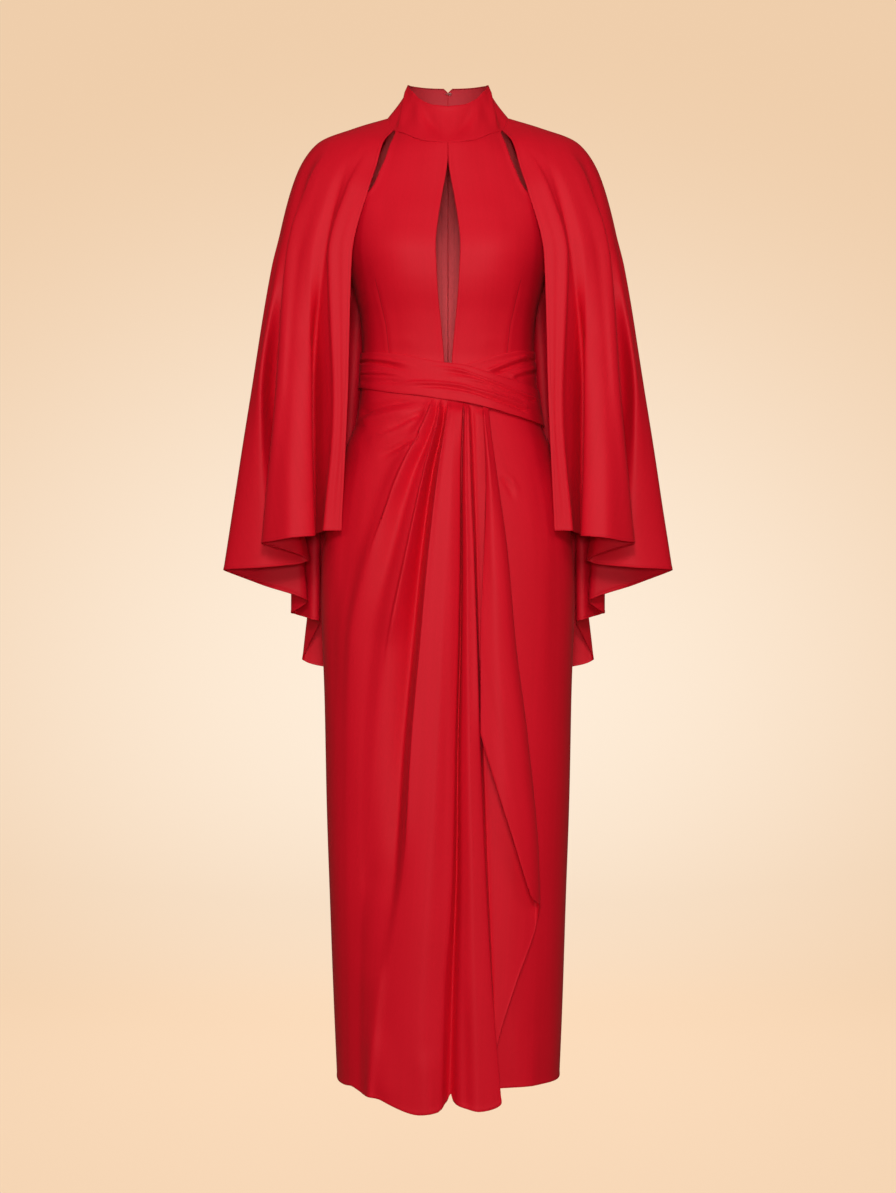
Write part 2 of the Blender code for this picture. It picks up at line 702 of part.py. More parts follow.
def hook_and_eye(collection, finish):
    """The fastening inside the collar's top at centre back, hooked. Both ends lie on the collar."""
    drop = NECK_RING[-1][2] + NOTCH["deep"] + 2.5
    face = collar_back_face(drop) - COLLAR_WALL
    inside = face - EYE["stands_off"]
    seat = face - HOOK_WIRE - EYE["seat_gap"]
    leg = EYE["ring"] * math.sin(math.radians(EYE["open"]))
    ring = [(EYE["foot"], seat, leg - drop)]
    for share in steps(12):
        angle = math.radians(mix(EYE["open"], 360 - EYE["open"], share))
        across = EYE["across"] + EYE["ring"] * math.cos(angle)
        ring.append((across, inside, EYE["ring"] * math.sin(angle) - drop))
    ring.append((EYE["foot"], seat, -leg - drop))
    wire("eye", ring, collection, finish)
    bend = EYE["across"]
    hook = [(-EYE["foot"], seat + HOOK_SEAT, -drop), (-0.5 * EYE["foot"], inside - 1.4, -drop), (0.6, inside - 1.4, -drop)]
    hook += [(bend - 0.5, inside - 1.1, -drop), (bend, inside, -drop), (bend - 0.5, inside + 0.9, -drop)]
    wire("hook", hook, collection, finish)


def clear_scene():
    for obj in list(bpy.data.objects):
        bpy.data.objects.remove(obj, do_unlink=True)


def main():
    clear_scene()
    gown = bpy.data.collections.new("cape_sleeve_gown")
    cutters = bpy.data.collections.new("cutters")
    for made in (gown, cutters):
        bpy.context.scene.collection.children.link(made)
    crepe = material("red_crepe", RED, 0.75)
    tape = material("zip_tape", DEEP_RED, 0.8)
    steel = material("steel", STEEL, 0.3, 1.0)

    cloth("collar", collar_rows(), COLLAR_WALL, gown, crepe)
    sided = (
        ("bodice_front", bodice_front_rows(), CREPE),
        ("bodice_back", bodice_back_rows(), CREPE),
        ("cape", cape_rows(), CAPE_CREPE),
    )
    for name, rows, wall in sided:
        cloth(name + "_right", rows, wall, gown, crepe)
        cloth(name + "_left", mirrored(rows), wall, gown, crepe)
    cloth("waist_wrap_over", over_band_rows(), CREPE, gown, crepe)
    cloth("waist_wrap_under", under_band_rows(), CREPE, gown, crepe)
    cloth("waist_back_right", back_band_rows(BACK_BAND["side_bottom"]), CREPE, gown, crepe)
    cloth("waist_back_left", mirrored(back_band_rows(BACK_BAND["bottom"])), CREPE, gown, crepe)
    cloth("skirt_back_right", skirt_back_rows(BACK_BAND["side_bottom"]), CREPE, gown, crepe)
    cloth("skirt_back_left", mirrored(skirt_back_rows(BACK_BAND["bottom"])), CREPE, gown, crepe)
    cloth("skirt_front_under", under_panel_rows(), CREPE, gown, crepe)
    cloth("skirt_front_overlay", overlay_rows(), CREPE, gown, crepe, even=False)
    cloth("zip_tape", zip_rows(), ZIP["wall"], gown, tape)
    axis = slider(gown, cutters, steel)
    tab(axis, gown, cutters, steel)
    hook_and_eye(gown, steel)


main()
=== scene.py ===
import math

import bpy
import numpy as np
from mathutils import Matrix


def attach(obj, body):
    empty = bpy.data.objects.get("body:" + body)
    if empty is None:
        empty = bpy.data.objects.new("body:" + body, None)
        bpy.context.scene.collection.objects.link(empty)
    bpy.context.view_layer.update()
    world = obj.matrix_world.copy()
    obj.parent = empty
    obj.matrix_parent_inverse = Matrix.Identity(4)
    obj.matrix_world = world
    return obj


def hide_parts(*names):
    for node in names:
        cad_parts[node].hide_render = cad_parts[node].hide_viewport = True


# Cape sleeve gown. The cloth is rebuilt finely on the form of its solids, in millimetres, with the
# same rings and fold lines, then given its creases, hems and seams.

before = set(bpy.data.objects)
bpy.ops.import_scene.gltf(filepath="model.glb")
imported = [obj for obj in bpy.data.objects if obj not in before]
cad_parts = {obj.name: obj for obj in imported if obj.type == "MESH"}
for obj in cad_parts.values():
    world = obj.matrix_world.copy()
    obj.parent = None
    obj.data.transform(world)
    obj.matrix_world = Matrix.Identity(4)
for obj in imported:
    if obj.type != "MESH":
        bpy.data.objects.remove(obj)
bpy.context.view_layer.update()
mm = 0.001
gown = "gown"
print("frame loaded")

# Sizes that the sheets share.

wall = {"crepe": 1.4, "cape": 1.2, "collar": 2.2}
seam = 0.3  # what is left open at a sewn edge that another sheet covers
closed = 0.03  # half of what is left open between two edges that are sewn or zipped together

formColumns = ("drop", "halfWidth", "front", "back")
formRings = (
    (-5, 84, 55, 52), (15, 86, 62, 60), (30, 104, 69, 69), (45, 125, 75, 77), (66, 150, 81, 87),
    (112, 165, 94, 97), (150, 157, 106, 101), (205, 142, 118, 98), (231, 134, 117, 94),
    (250, 130, 114, 90), (288, 123, 103, 82), (326, 121, 95, 76), (348, 122, 92, 75),
    (385, 124, 97, 82), (432, 131, 107, 99), (463, 143, 111, 108), (482, 148, 112, 113),
    (530, 163, 115, 122), (585, 174, 117, 125), (630, 178.5, 118, 124), (682, 179, 118, 120),
    (824, 175, 117, 112), (966, 172, 116, 106), (1108, 167, 115, 102), (1250, 162, 113, 98),
    (1390, 156, 112, 95),
)
oval = {"front": 2.5, "back": 2.2}
bust = {"across": 76, "drop": 198, "lift": 9, "wide": 34, "tall": 44}
sides = (("right", 1), ("left", -1))


def smooth(knots, values, at):  # a curve through the knots that doesn't overshoot, for whole arrays
    knots, values, at = (np.asarray(item, float) for item in (knots, values, at))
    spread = (1,) * at.ndim
    if values.ndim == 1:
        values = values.reshape((-1,) + spread)
    values = np.broadcast_to(values, (len(knots),) + at.shape)
    spans = np.diff(knots)
    rises = np.diff(values, axis=0) / spans.reshape((-1,) + spread)
    both = rises[:-1] * rises[1:]
    total = np.where(both > 0, rises[:-1] + rises[1:], 1.0)
    slopes = np.concatenate((rises[:1], np.where(both > 0, 2 * both / total, 0.0), rises[-1:]))
    left = np.clip(np.searchsorted(knots, at) - 1, 0, len(spans) - 1)
    share = np.clip((at - knots[left]) / spans[left], 0, 1)

    def pick(table, number):
        return np.take_along_axis(table, number[None], 0)[0]

    start = (1 + 2 * share) * (1 - share) ** 2 * pick(values, left)
    start = start + share * (1 - share) ** 2 * spans[left] * pick(slopes, left)
    end = share * share * (3 - 2 * share) * pick(values, left + 1)
    return start + end - share * share * (1 - share) * spans[left] * pick(slopes, left + 1)


def columnOf(rows, names, name):
    return [row[names.index(name)] for row in rows]


def read(rows, names, key, name, at):
    return smooth(columnOf(rows, names, key), columnOf(rows, names, name), at)


def ease(share):
    share = np.clip(share, 0, 1)
    return share * share * (3 - 2 * share)


def mix(a, b, share):
    return a + (b - a) * share


def formAngle(across, drop, half="front"):
    halfWidth = read(formRings, formColumns, "drop", "halfWidth", drop)
    share = np.minimum(np.abs(across) / halfWidth, 1.0) ** (oval[half] / 2)
    return np.sign(across) * np.degrees(np.arcsin(share))


def formPoint(angle, drop, out=0.0):
    angle, drop = np.broadcast_arrays(np.asarray(angle, float), np.asarray(drop, float))
    sine, cosine = np.sin(np.radians(angle)), np.cos(np.radians(angle))
    front = cosine > 0
    halfWidth = read(formRings, formColumns, "drop", "halfWidth", drop)
    frontDepth = read(formRings, formColumns, "drop", "front", drop)
    depth = np.where(front, frontDepth, read(formRings, formColumns, "drop", "back", drop))
    power = np.where(front, 2 / oval["front"], 2 / oval["back"])
    x = halfWidth * np.sign(sine) * np.abs(sine) ** power
    y = -depth * np.sign(cosine) * np.abs(cosine) ** power
    normalX = np.sign(sine) * np.abs(sine) ** (2 - power) / halfWidth
    normalY = -np.sign(cosine) * np.abs(cosine) ** (2 - power) / depth
    length = np.hypot(normalX, normalY)
    aside = (np.abs(x) - bust["across"]) / bust["wide"]
    below = (drop - bust["drop"]) / bust["tall"]
    cup = bust["lift"] * np.exp(-(aside**2 + below**2) / 2)
    out = out + np.where(front, cup, 0.0)
    return np.stack((x + out * normalX / length, y + out * normalY / length, -drop), -1)


def sideSeam(drop):
    depth = read(formRings, formColumns, "drop", "front", drop)
    return 90 - np.degrees((closed / depth) ** (oval["front"] / 2))


# From a grid of points to a piece of cloth.

hemShape = {"wide": 4.0, "proud": 0.35, "round": 0.5}
turnedShape = {"middle": 2.5, "wide": 3.0, "proud": 0.5, "round": 1.2}
seamShape = {"wide": 2.0, "deep": 0.3}
edgeRows = {"hem": (0.5, 3.9, 4.4), "turned": (0.4, 1.2, 3, 6), "seam": (0.4, 1.0, 2.2), "plain": ()}
leastStep = 0.15  # rows of points are no closer than this
slackWaves = (  # lengths of a wave across and down, where it starts, strength
    (23, 210, 0, 1), (41, -150, 2.1, 1), (90, 67, 4.4, 1), (13, 340, 1.3, 0.6),
)
farAway = 900.0


def shares(count, size, first, last):  # even steps, with extra ones where an edge is turned or sewn
    made = set(np.linspace(0, 1, count + 1).round(6))
    made |= {round(far / size, 6) for far in edgeRows[first]}
    made |= {round(1 - far / size, 6) for far in edgeRows[last]}
    made = sorted(made)
    kept = [made[0]]
    for share in made[1:]:
        if share - kept[-1] > leastStep / size:
            kept.append(share)
    return np.array(kept)


def lengthsAlong(points, axis):
    steps = np.linalg.norm(np.diff(points, axis=axis), axis=-1)
    start = np.zeros_like(np.take(steps, [0], axis))
    return np.concatenate((start, np.cumsum(steps, axis)), axis)


def normalsOf(points):
    down = np.gradient(points, axis=0)
    across = np.gradient(points, axis=1)
    normals = np.cross(down, across)
    return normals / np.maximum(np.linalg.norm(normals, axis=-1, keepdims=True), 1e-9)


def edgeRelief(far, kind):
    if kind == "hem":
        shape = hemShape
        inner = 1 - ease((far - shape["wide"]) / shape["round"])
        return shape["proud"] * ease(far / shape["round"]) * inner
    if kind == "turned":
        shape = turnedShape
        roll = np.exp(-(((far - shape["middle"]) / shape["wide"]) ** 2))
        return shape["proud"] * roll * ease(far / shape["round"])
    if kind == "seam":
        return -seamShape["deep"] * np.clip(1 - far / seamShape["wide"], 0, 1) ** 2
    return np.zeros_like(far)


def pathOf(numbers):
    return np.array(numbers, float).reshape(-1, 2)


# A crease is a soft trough or ridge: its widths on either side, its height, the shares of its length over
# which it fades in and out, then x and drop of each point of its path.
def creaseRelief(x, drop, crease):
    before, after, height, fadeIn, fadeOut, *path = crease
    path = pathOf(path)
    knots = np.linspace(0, 1, len(path))
    fine = np.linspace(0, 1, 8 * (len(path) - 1) + 1)
    route = np.stack([smooth(knots, path[:, axis], fine) for axis in (0, 1)], -1)
    nearest = np.full(x.shape, np.inf)
    along = np.zeros(x.shape)
    side = np.zeros(x.shape)
    for number, (start, end) in enumerate(zip(route, route[1:])):
        run = end - start
        share = ((x - start[0]) * run[0] + (drop - start[1]) * run[1]) / (run @ run)
        share = np.clip(share, 0, 1)
        offX, offDrop = x - start[0] - share * run[0], drop - start[1] - share * run[1]
        far = np.hypot(offX, offDrop)
        closer = far < nearest
        nearest = np.where(closer, far, nearest)
        along = np.where(closer, (number + share) / (len(route) - 1), along)
        side = np.where(closer, offX * run[1] - offDrop * run[0], side)
    relief = height * np.exp(-((nearest / np.where(side > 0, after, before)) ** 2))
    if fadeIn:
        relief = relief * ease(along / fadeIn)
    if fadeOut:
        relief = relief * ease((1 - along) / fadeOut)
    return relief


def slackRelief(u, v, height, number):  # faint unevenness, so that no panel is a perfect surface
    waves = [strength * np.sin(u / across + v / down + start + 1.7 * number)
             for across, down, start, strength in slackWaves]
    return height * sum(waves) / sum(row[3] for row in slackWaves)


def bulge(off, height, before, after):
    return height * np.exp(-((off / np.where(off < 0, before, after)) ** 2))


def foldRelief(place, drop, folds):  # ridges and troughs that follow the sheet's own lines
    total = np.zeros(np.broadcast_shapes(place.shape, drop.shape))
    for at, before, after, height, first, last in folds:
        shape = bulge(place - at, height, before, after)
        total = total + shape * ease((drop - first) / 50) * ease((last - drop) / 90)
    return total


def signedFar(x, drop, path):  # how far, and on which side, a point is from a sewn line
    best = np.full(x.shape, farAway)
    path = pathOf(path)
    for start, end in zip(path, path[1:]):
        run = end - start
        share = ((x - start[0]) * run[0] + (drop - start[1]) * run[1]) / (run @ run)
        off = ((x - start[0]) * run[1] - (drop - start[1]) * run[0]) / math.hypot(*run)
        past = 40 * np.clip(np.abs(share - 0.5) - 0.5, 0, 1)  # a stretch hardly counts beyond its ends
        off = off + np.sign(off) * past
        best = np.where(np.abs(off) < np.abs(best), off, best)
    return best


def onSide(points, sign):  # the grid itself on the right, mirrored on the left
    return points if sign > 0 else points[:, ::-1] * np.array((-1, 1, 1))


def sided(creases, sign, wide=1.0, long=1.0):  # the right side's creases, turned over for the left
    return [(*crease[1::-1][::-sign], *crease[2:5], *(pathOf(crease[5:]) * (sign * wide, long)).ravel())
            for crease in creases]


def addSheet(node, points, edges, finish, cut, creases=(), slack=0.3, number=0, thick=wall["crepe"],
             calm=1.0, extra=0.0, grainFrom=0.5, sewn=()):
    first, last, top, bottom = edges
    u = lengthsAlong(points, 1)
    v = lengthsAlong(points, 0)
    x, drop = points[..., 0], -points[..., 2]
    relief = edgeRelief(u, first) + edgeRelief(u[:, -1:] - u, last)
    relief = relief + edgeRelief(v, top) + edgeRelief(v[-1:] - v, bottom)
    fold = np.zeros_like(x)
    for crease in creases:
        fold = fold + creaseRelief(x, drop, crease)
    fold = fold + slackRelief(u, v, slack, number)
    points = points + (relief + fold * calm + extra)[..., None] * normalsOf(points)
    rows, columns = x.shape
    index = np.arange(rows * columns).reshape(rows, columns)
    faces = np.stack((index[:-1, :-1], index[1:, :-1], index[1:, 1:], index[:-1, 1:]), -1).reshape(-1, 4)
    mesh = bpy.data.meshes.new(node + "_cloth")
    mesh.from_pydata((points.reshape(-1, 3) * mm).tolist(), [], faces.tolist())
    corner = np.empty(len(mesh.loops), np.int32)
    mesh.loops.foreach_get("vertex_index", corner)
    flat = np.stack((u - u[:, round(grainFrom * (columns - 1))][:, None], v), -1).reshape(-1, 2) * mm
    layer = mesh.uv_layers.new(name="cloth")
    layer.data.foreach_set("uv", flat[corner].ravel())
    far = np.full(x.shape, farAway)
    for distance, kind in ((u, first), (u[:, -1:] - u, last), (v, top), (v[-1:] - v, bottom)):
        if kind == "hem":
            far = np.minimum(far, distance)
    for label, values in (("edge", far), ("sewn", signedFar(x, drop, sewn))):
        layer = mesh.attributes.new(label, "FLOAT", "POINT")
        layer.data.foreach_set("value", values.ravel().astype(np.float32))
    mesh.shade_smooth()
    piece = addObject(mesh.name, mesh)
    for material in finish:
        mesh.materials.append(material)
    solid = piece.modifiers.new("wall", "SOLIDIFY")
    solid.thickness = thick * mm
    solid.offset = -1
    solid.material_offset = 1
    applyModifiers(piece)
    flat, area, held = cut
    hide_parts(node)
    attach(piece, gown)


def addObject(name, data):
    made = bpy.data.objects.new(name, data)
    bpy.context.scene.collection.objects.link(made)
    return made


def applyModifiers(piece):
    bpy.ops.object.select_all(action="DESELECT")
    bpy.context.view_layer.objects.active = piece
    piece.select_set(True)
    for modifier in list(piece.modifiers):
        bpy.ops.object.modifier_apply(modifier=modifier.name)
    piece.select_set(False)


# Materials.


class Sock:  # a socket that takes part in sums
    def __init__(self, tree, socket):
        self.tree, self.socket = tree, socket

    def node(self, kind, settings, **inputs):
        made = self.tree.nodes.new(kind)
        for key, value in settings.items():
            setattr(made, key, value)
        for key, value in inputs.items():
            key = int(key[1:]) if key[1:].isdigit() else key.replace("_", " ")
            if isinstance(value, Sock):
                self.tree.links.new(value.socket, made.inputs[key])
            else:
                made.inputs[key].default_value = value
        return made

    def math(self, operation, *values):
        inputs = {f"i{number}": value for number, value in enumerate(values)}
        made = self.node("ShaderNodeMath", {"operation": operation}, **inputs)
        return Sock(self.tree, made.outputs[0])

    def __add__(self, other):
        return self.math("ADD", self, other)

    def __sub__(self, other):
        return self.math("SUBTRACT", self, other)

    def __mul__(self, other):
        return self.math("MULTIPLY", self, other)

    def __rsub__(self, other):
        return self.math("SUBTRACT", other, self)

    __radd__ = __add__
    __rmul__ = __mul__

    def between(self, low, high):  # 0 below low, 1 above high
        made = self.node("ShaderNodeMapRange", {"interpolation_type": "SMOOTHSTEP"},
                         Value=self, From_Min=low, From_Max=high)
        return Sock(self.tree, made.outputs["Result"])

    def noise(self, scale, stretch=(1, 1, 1), detail=2, roughness=0.5):
        spread = self.node("ShaderNodeMapping", {}, Vector=self, Scale=stretch)
        made = self.node("ShaderNodeTexNoise", {}, Vector=Sock(self.tree, spread.outputs[0]),
                         Scale=scale, Detail=detail, Roughness=roughness)
        return Sock(self.tree, made.outputs["Fac"])

    def paint(self, low, high):  # mixes two colours by this value
        made = self.node("ShaderNodeMix", {"data_type": "RGBA"}, i0=self)
        for number, colour in ((6, low), (7, high)):
            if isinstance(colour, Sock):
                self.tree.links.new(colour.socket, made.inputs[number])
            else:
                made.inputs[number].default_value = (*colour, 1)
        return Sock(self.tree, made.outputs[2])


def setInputs(node, **values):
    for key, value in values.items():
        node.inputs[key.replace("_", " ")].default_value = value


def startMaterial(name, roughness, metallic=0.0):
    material = bpy.data.materials.new(name)
    material.use_nodes = True
    shader = material.node_tree.nodes["Principled BSDF"]
    setInputs(shader, Roughness=roughness, Metallic=metallic)
    return material, material.node_tree, shader


def textureSocket(tree, output, kind="ShaderNodeTexCoord"):
    return Sock(tree, tree.nodes.new(kind).outputs[output])


def attribute(tree, name):
    made = tree.nodes.new("ShaderNodeAttribute")
    made.attribute_name = name
    return Sock(tree, made.outputs["Fac"])


def connect(tree, shader, colour, rough, height=None, strength=0.0, deep=0.0):
    tree.links.new(colour.socket, shader.inputs["Base Color"])
    tree.links.new(rough.socket, shader.inputs["Roughness"])
    if height:
        bump = height.node("ShaderNodeBump", {}, Height=height, Strength=strength, Distance=deep)
        tree.links.new(bump.outputs["Normal"], shader.inputs["Normal"])


crepeLook = {  # colours are pairs of the lightest and the darkest tone
    "outside": ((0.735, 0.0025, 0.019), (0.64, 0.0015, 0.013)),
    "inside": ((0.88, 0.095, 0.105), (0.8, 0.075, 0.085)),
    # painted shade: the collar's inner face is a darker copy of the crepe, standing in for the shade inside
    # the collar
    "shadedFacing": ((0.56, 0.028, 0.04), (0.48, 0.02, 0.03)),
    "stitch": (0.25, 0.002, 0.006),
    "threads": 2600, "pebbles": 1400, "streaks": 160, "clouds": 9,  # how many a metre
    "tones": (0.32, 0.78),
    "hemStitch": (3.3, 3.7, 3.9, 4.3),  # millimetres from the edge
    "roughness": 0.62,
    "shader": {"Sheen_Weight": 0.02, "Sheen_Roughness": 0.4, "Sheen_Tint": (1, 0.35, 0.38, 1),
               "Specular_IOR_Level": 0.2},
    "bump": (0.12, 0.0004),
}


def crepeMaterial(name, light, dark):
    look = crepeLook
    material, tree, shader = startMaterial(name, look["roughness"])
    cloth = textureSocket(tree, "UV")
    threads = cloth.noise(look["threads"], (1, 0.06, 1), 3, 0.6)
    pebble = cloth.noise(look["pebbles"], (1, 0.8, 1), 2, 0.55)
    streak = cloth.noise(look["streaks"], (1, 0.02, 1), 3, 0.6)
    cloud = cloth.noise(look["clouds"], (1, 0.6, 1), 2, 0.5)
    tone = 0.22 * streak + 0.3 * cloud + 0.5 * threads
    edge = attribute(tree, "edge")
    start, full, fade, end = look["hemStitch"]
    line = 0.45 * (edge.between(start, full) * (1 - edge.between(fade, end)))
    sewn = attribute(tree, "sewn")
    line = line + (1 - sewn.math("ABSOLUTE", sewn).between(0.25, 0.7))
    colour = (0.5 * line).paint(tone.between(*look["tones"]).paint(dark, light), look["stitch"])
    height = 0.6 * threads + 0.5 * pebble - 2.0 * line
    connect(tree, shader, colour, 0.10 * pebble + (look["roughness"] - 0.05), height, *look["bump"])
    setInputs(shader, **look["shader"])
    return material


crepe = crepeMaterial("red crepe", *crepeLook["outside"])
crepeInside = crepeMaterial("red crepe, wrong side", *crepeLook["inside"])
# painted shade: a darker copy of the crepe for the collar's inner face, where shade falls inside the collar
shadedFacing = crepeMaterial("red facing", *crepeLook["shadedFacing"])
clothFinish = (crepe, crepeInside)
bothSides = (crepe, crepe)


def metalMaterial(name, colour, roughness):
    material, tree, shader = startMaterial(name, roughness, 1.0)
    place = textureSocket(tree, "Object")
    brushed = place.noise(5200, (1, 1, 0.05))  # fine marks along the piece
    tone = 0.6 * brushed + 0.4 * place.noise(260)
    darker = tuple(0.82 * value for value in colour)
    connect(tree, shader, tone.between(0.3, 0.7).paint(darker, colour), 0.14 * tone + roughness - 0.07,
            brushed, 0.08, 0.0001)
    return material


def tapeMaterial():
    material, tree, shader = startMaterial("woven tape", 0.7)
    place = textureSocket(tree, "Object")
    ribs = place.noise(2400, (1, 0.2, 0.03))  # warp threads run along the tape
    tone = 0.6 * ribs + 0.4 * place.noise(1500, (0.4, 0.2, 1))
    colour = tone.between(0.35, 0.68).paint((0.68, 0.060, 0.070), (0.84, 0.092, 0.102))
    connect(tree, shader, colour, 0.16 * tone + 0.6, tone, 0.3, 0.0003)
    setInputs(shader, Specular_IOR_Level=0.2)
    return material


def nylonMaterial():
    material, tree, shader = startMaterial("red nylon", 0.38)
    place = textureSocket(tree, "Object")
    tone = place.noise(700, (1, 1, 1), 3, 0.6)
    colour = tone.between(0.3, 0.7).paint((0.66, 0.055, 0.065), (0.84, 0.090, 0.100))
    connect(tree, shader, colour, 0.14 * tone + 0.30)
    return material


tape = tapeMaterial()
nylon = nylonMaterial()
steel = metalMaterial("zip metal", (0.66, 0.62, 0.60), 0.28)
hookMetal = metalMaterial("hook metal", (0.84, 0.78, 0.76), 0.30)
print("materials made")

# Collar.

collar = {
    "neckColumns": ("angle", "baseDrop", "topDrop"),
    "neckRing": ((0, 45, -8.7), (22, 42, -11.7), (46, 29, -23), (62, 21.5, -36), (90, -1.8, -49),
                 (135, -5.5, -54), (180, -5, -55)),
    "base": {"halfWidth": 84, "front": 75, "back": 52},
    "top": {"halfWidth": 56, "front": 55, "back": 55},
    "waist": 2.5,
    "proud": {"front": 0.4, "cape": 1.7},
    "notch": {"halfWidth": 6.5, "deep": 6},
    "slotAngle": 62,
    "side": (50, 12),  # past this angle, and over how much, it stands off for the cape's neck edge
    "backAngle": 150,  # the notch is cut behind this
    "mesh": {"half": (168, 113), "closing": (170, 172, 173.3, 175, 176.8, 178.4, 179.4, 179.99),
             "rows": (34, 52)},
    "corner": {"base": 55, "top": 82, "ridge": (2.6, 9, 2), "trough": (-5, 6, 14), "apart": 9},
    "buckles": (  # angle at the base and at the top, width, height, how far up, reach
        (4, 36, 9, -3.4, 0.46, 0.3), (22, 50, 9, 2, 0.55, 0.3), (128, 140, 10, -1.2, 0.5, 0.3),
    ),
    "cut": ((0.49, 0.1), 0.03, "stretched"),
}


def neckPoint(angle, out=0.0, ring="base", name="baseDrop"):
    size = collar[ring]
    sine, cosine = np.sin(np.radians(angle)), np.cos(np.radians(angle))
    depth = np.where(cosine > 0, size["front"], size["back"])
    drop = read(collar["neckRing"], collar["neckColumns"], "angle", name, np.abs(angle))
    x, y = (size["halfWidth"] + out) * sine, -(depth + out) * cosine
    return np.stack((x, y, -drop), -1)


def collarGrid():
    fine = collar["mesh"]
    half = np.concatenate((np.linspace(0, *fine["half"]), fine["closing"]))
    angle = np.concatenate((-half[:0:-1], half))
    up = 1 - shares(*fine["rows"], "turned", "seam")
    angle, up = np.meshgrid(angle, up)
    start, reach = collar["side"]
    out = mix(collar["proud"]["front"], collar["proud"]["cape"], ease((np.abs(angle) - start) / reach))
    base = neckPoint(angle, out)
    top = neckPoint(angle, out, "top", "topDrop")
    notch = collar["notch"]
    cut = notch["deep"] * np.maximum(0, 1 - np.abs(top[..., 0]) / notch["halfWidth"])
    top[..., 2] -= np.where(np.abs(angle) > collar["backAngle"], cut, 0)
    base[..., 2] += 0.1  # just clear of the sheets below it
    points = mix(base, top, up[..., None])
    around = np.hypot(points[..., 0], points[..., 1])
    points[..., :2] *= (1 - collar["waist"] * np.sin(np.pi * up) / around)[..., None]
    return points, angle, up


def makeCollar():
    points, angle, up = collarGrid()
    lift = np.zeros_like(up)
    corner = collar["corner"]  # where the front face turns to the side
    for side in (-1, 1):
        off = angle * side - mix(corner["base"], corner["top"], up)
        lift += bulge(off, *corner["ridge"]) * ease(3 * up) * ease(5 - 5 * up)
        lift += bulge(off - corner["apart"], *corner["trough"]) * np.sin(np.pi * up) ** 0.7
        for base, top, wide, height, level, reach in collar["buckles"]:
            off = angle * side - mix(base, top, up)
            lift += bulge(off, height, wide, wide) * np.exp(-(((up - level) / reach) ** 2))
    points = points + lift[..., None] * normalsOf(points)
    addSheet("collar", points, ("seam", "seam", "turned", "seam"), (crepe, shadedFacing), collar["cut"],
             slack=0.25, number=1, thick=wall["collar"])


makeCollar()
print("collar made")

# Bodice.

bodice = {
    "bottom": 366,
    "underarm": 200,
    "keyhole": ((30, 0.1), (64, 0.1), (69, 0.3), (126, 9), (153, 13), (192, 16.6), (222, 15.6),
                (258, 13.6), (310, 8.6), (354, 5), (380, 4)),
    "halter": ((-5, 70, 84), (15, 72, 85), (27, 73.8, 91), (45, 80.5, 101), (66, 87, 112),
               (83, 94, 119), (103, 102, 127.5), (112, 108, 131), (125, 119, 135.5), (140, 130, 140),
               (160, 137, 143), (180, 140, 144), (200, 142.6, 143)),
    "blend": {"above": 18, "reach": 24},  # from the halter's edge to the side seam, at the underarm
    "dart": {"front": (101, 238, 93, 270, 86, 300, 81, 345), "back": (56, 232, 60, 290, 62, 346)},
    "mesh": {"front": (60, 130), "back": (50, 140), "down": (90, 330)},  # steps, size in millimetres
    "cut": {"front": ((0.2, 0.36), 0.052, "stretched"), "back": ((0.2, 0.38), 0.06, "stretched")},
}
halterColumns = ("drop", "front", "back")


def bodiceGrid(inner, outer, first, last, across, down):  # first and last are angles at the neck
    share, along = np.meshgrid(across, down)
    neck = neckPoint(mix(first, last, share))
    top = -neck[..., 2] + seam
    drop = mix(top, bodice["bottom"], along)
    points = formPoint(mix(inner(drop), outer(drop), share), drop)
    shift = (neck[0] - points[0]) * np.array((1, 1, 0))
    return points + shift[None] * ((1 - along) ** 4)[..., None]


def halterEdge(drop, name):
    edge = read(bodice["halter"], halterColumns, "drop", name, drop)
    angle = np.minimum(formAngle(edge, drop, name), sideSeam(drop))
    blend = bodice["blend"]
    below = (drop - bodice["underarm"] + blend["above"]) / blend["reach"]
    return mix(angle, sideSeam(drop), ease(below))


def makeBodice():
    def keyhole(drop):
        return formAngle(smooth(*zip(*bodice["keyhole"]), drop), drop)

    dart, fine = bodice["dart"], bodice["mesh"]
    down = shares(*fine["down"], "seam", "plain")
    front = bodiceGrid(keyhole, lambda drop: halterEdge(drop, "front"), 0.1, collar["slotAngle"] - 0.4,
                       shares(*fine["front"], "turned", "turned"), down)
    back = bodiceGrid(lambda drop: 180 - halterEdge(drop, "back"),
                      lambda drop: 180 - formAngle(closed, drop, "back"), 90.0, 179.97,
                      shares(*fine["back"], "turned", "seam"), down)
    frontFolds = [
        (2.2, 2.2, -0.9, 0.25, 0, *dart["front"]),
        (9, 7, 1, 0.5, 0, *dart["front"]),
        (9, 12, -0.8, 0.4, 0.4, 118, 205, 112, 240, 105, 262),
        (5, 8, 0.6, 0.4, 0.4, 40, 330, 62, 322, 88, 332), (12, 10, -0.7, 0.4, 0.4, 96, 120, 86, 150, 74, 176),
    ]
    backFolds = [
        (1.1, 1.1, -0.9, 0, 0.25, 62, 348, 60, 290, 54, 230), (7, 7, 0.6, 0, 0.5, 62, 348, 60, 290, 54, 230),
        (5, 7, 0.8, 0.4, 0.4, 16, 320, 34, 312, 58, 322),
        (9, 12, -0.9, 0.4, 0.4, 120, 210, 104, 236, 84, 250),
    ]
    for side, sign in sides:
        sewn = {name: pathOf(line) * (sign, 1) for name, line in dart.items()}
        addSheet(f"bodice_front_{side}", onSide(front, sign), ("turned", "turned", "seam", "plain"),
                 clothFinish, bodice["cut"]["front"], sided(frontFolds, sign), 0.35, 2 + sign,
                 grainFrom=0.5 - 0.5 * sign, sewn=sewn["front"])
        addSheet(f"bodice_back_{side}", onSide(back, sign), ("turned", "seam")[::sign] + ("seam", "plain"),
                 clothFinish, bodice["cut"]["back"], sided(backFolds, sign), 0.4, 5 + sign,
                 grainFrom=0.5 + 0.5 * sign, sewn=sewn["back"])


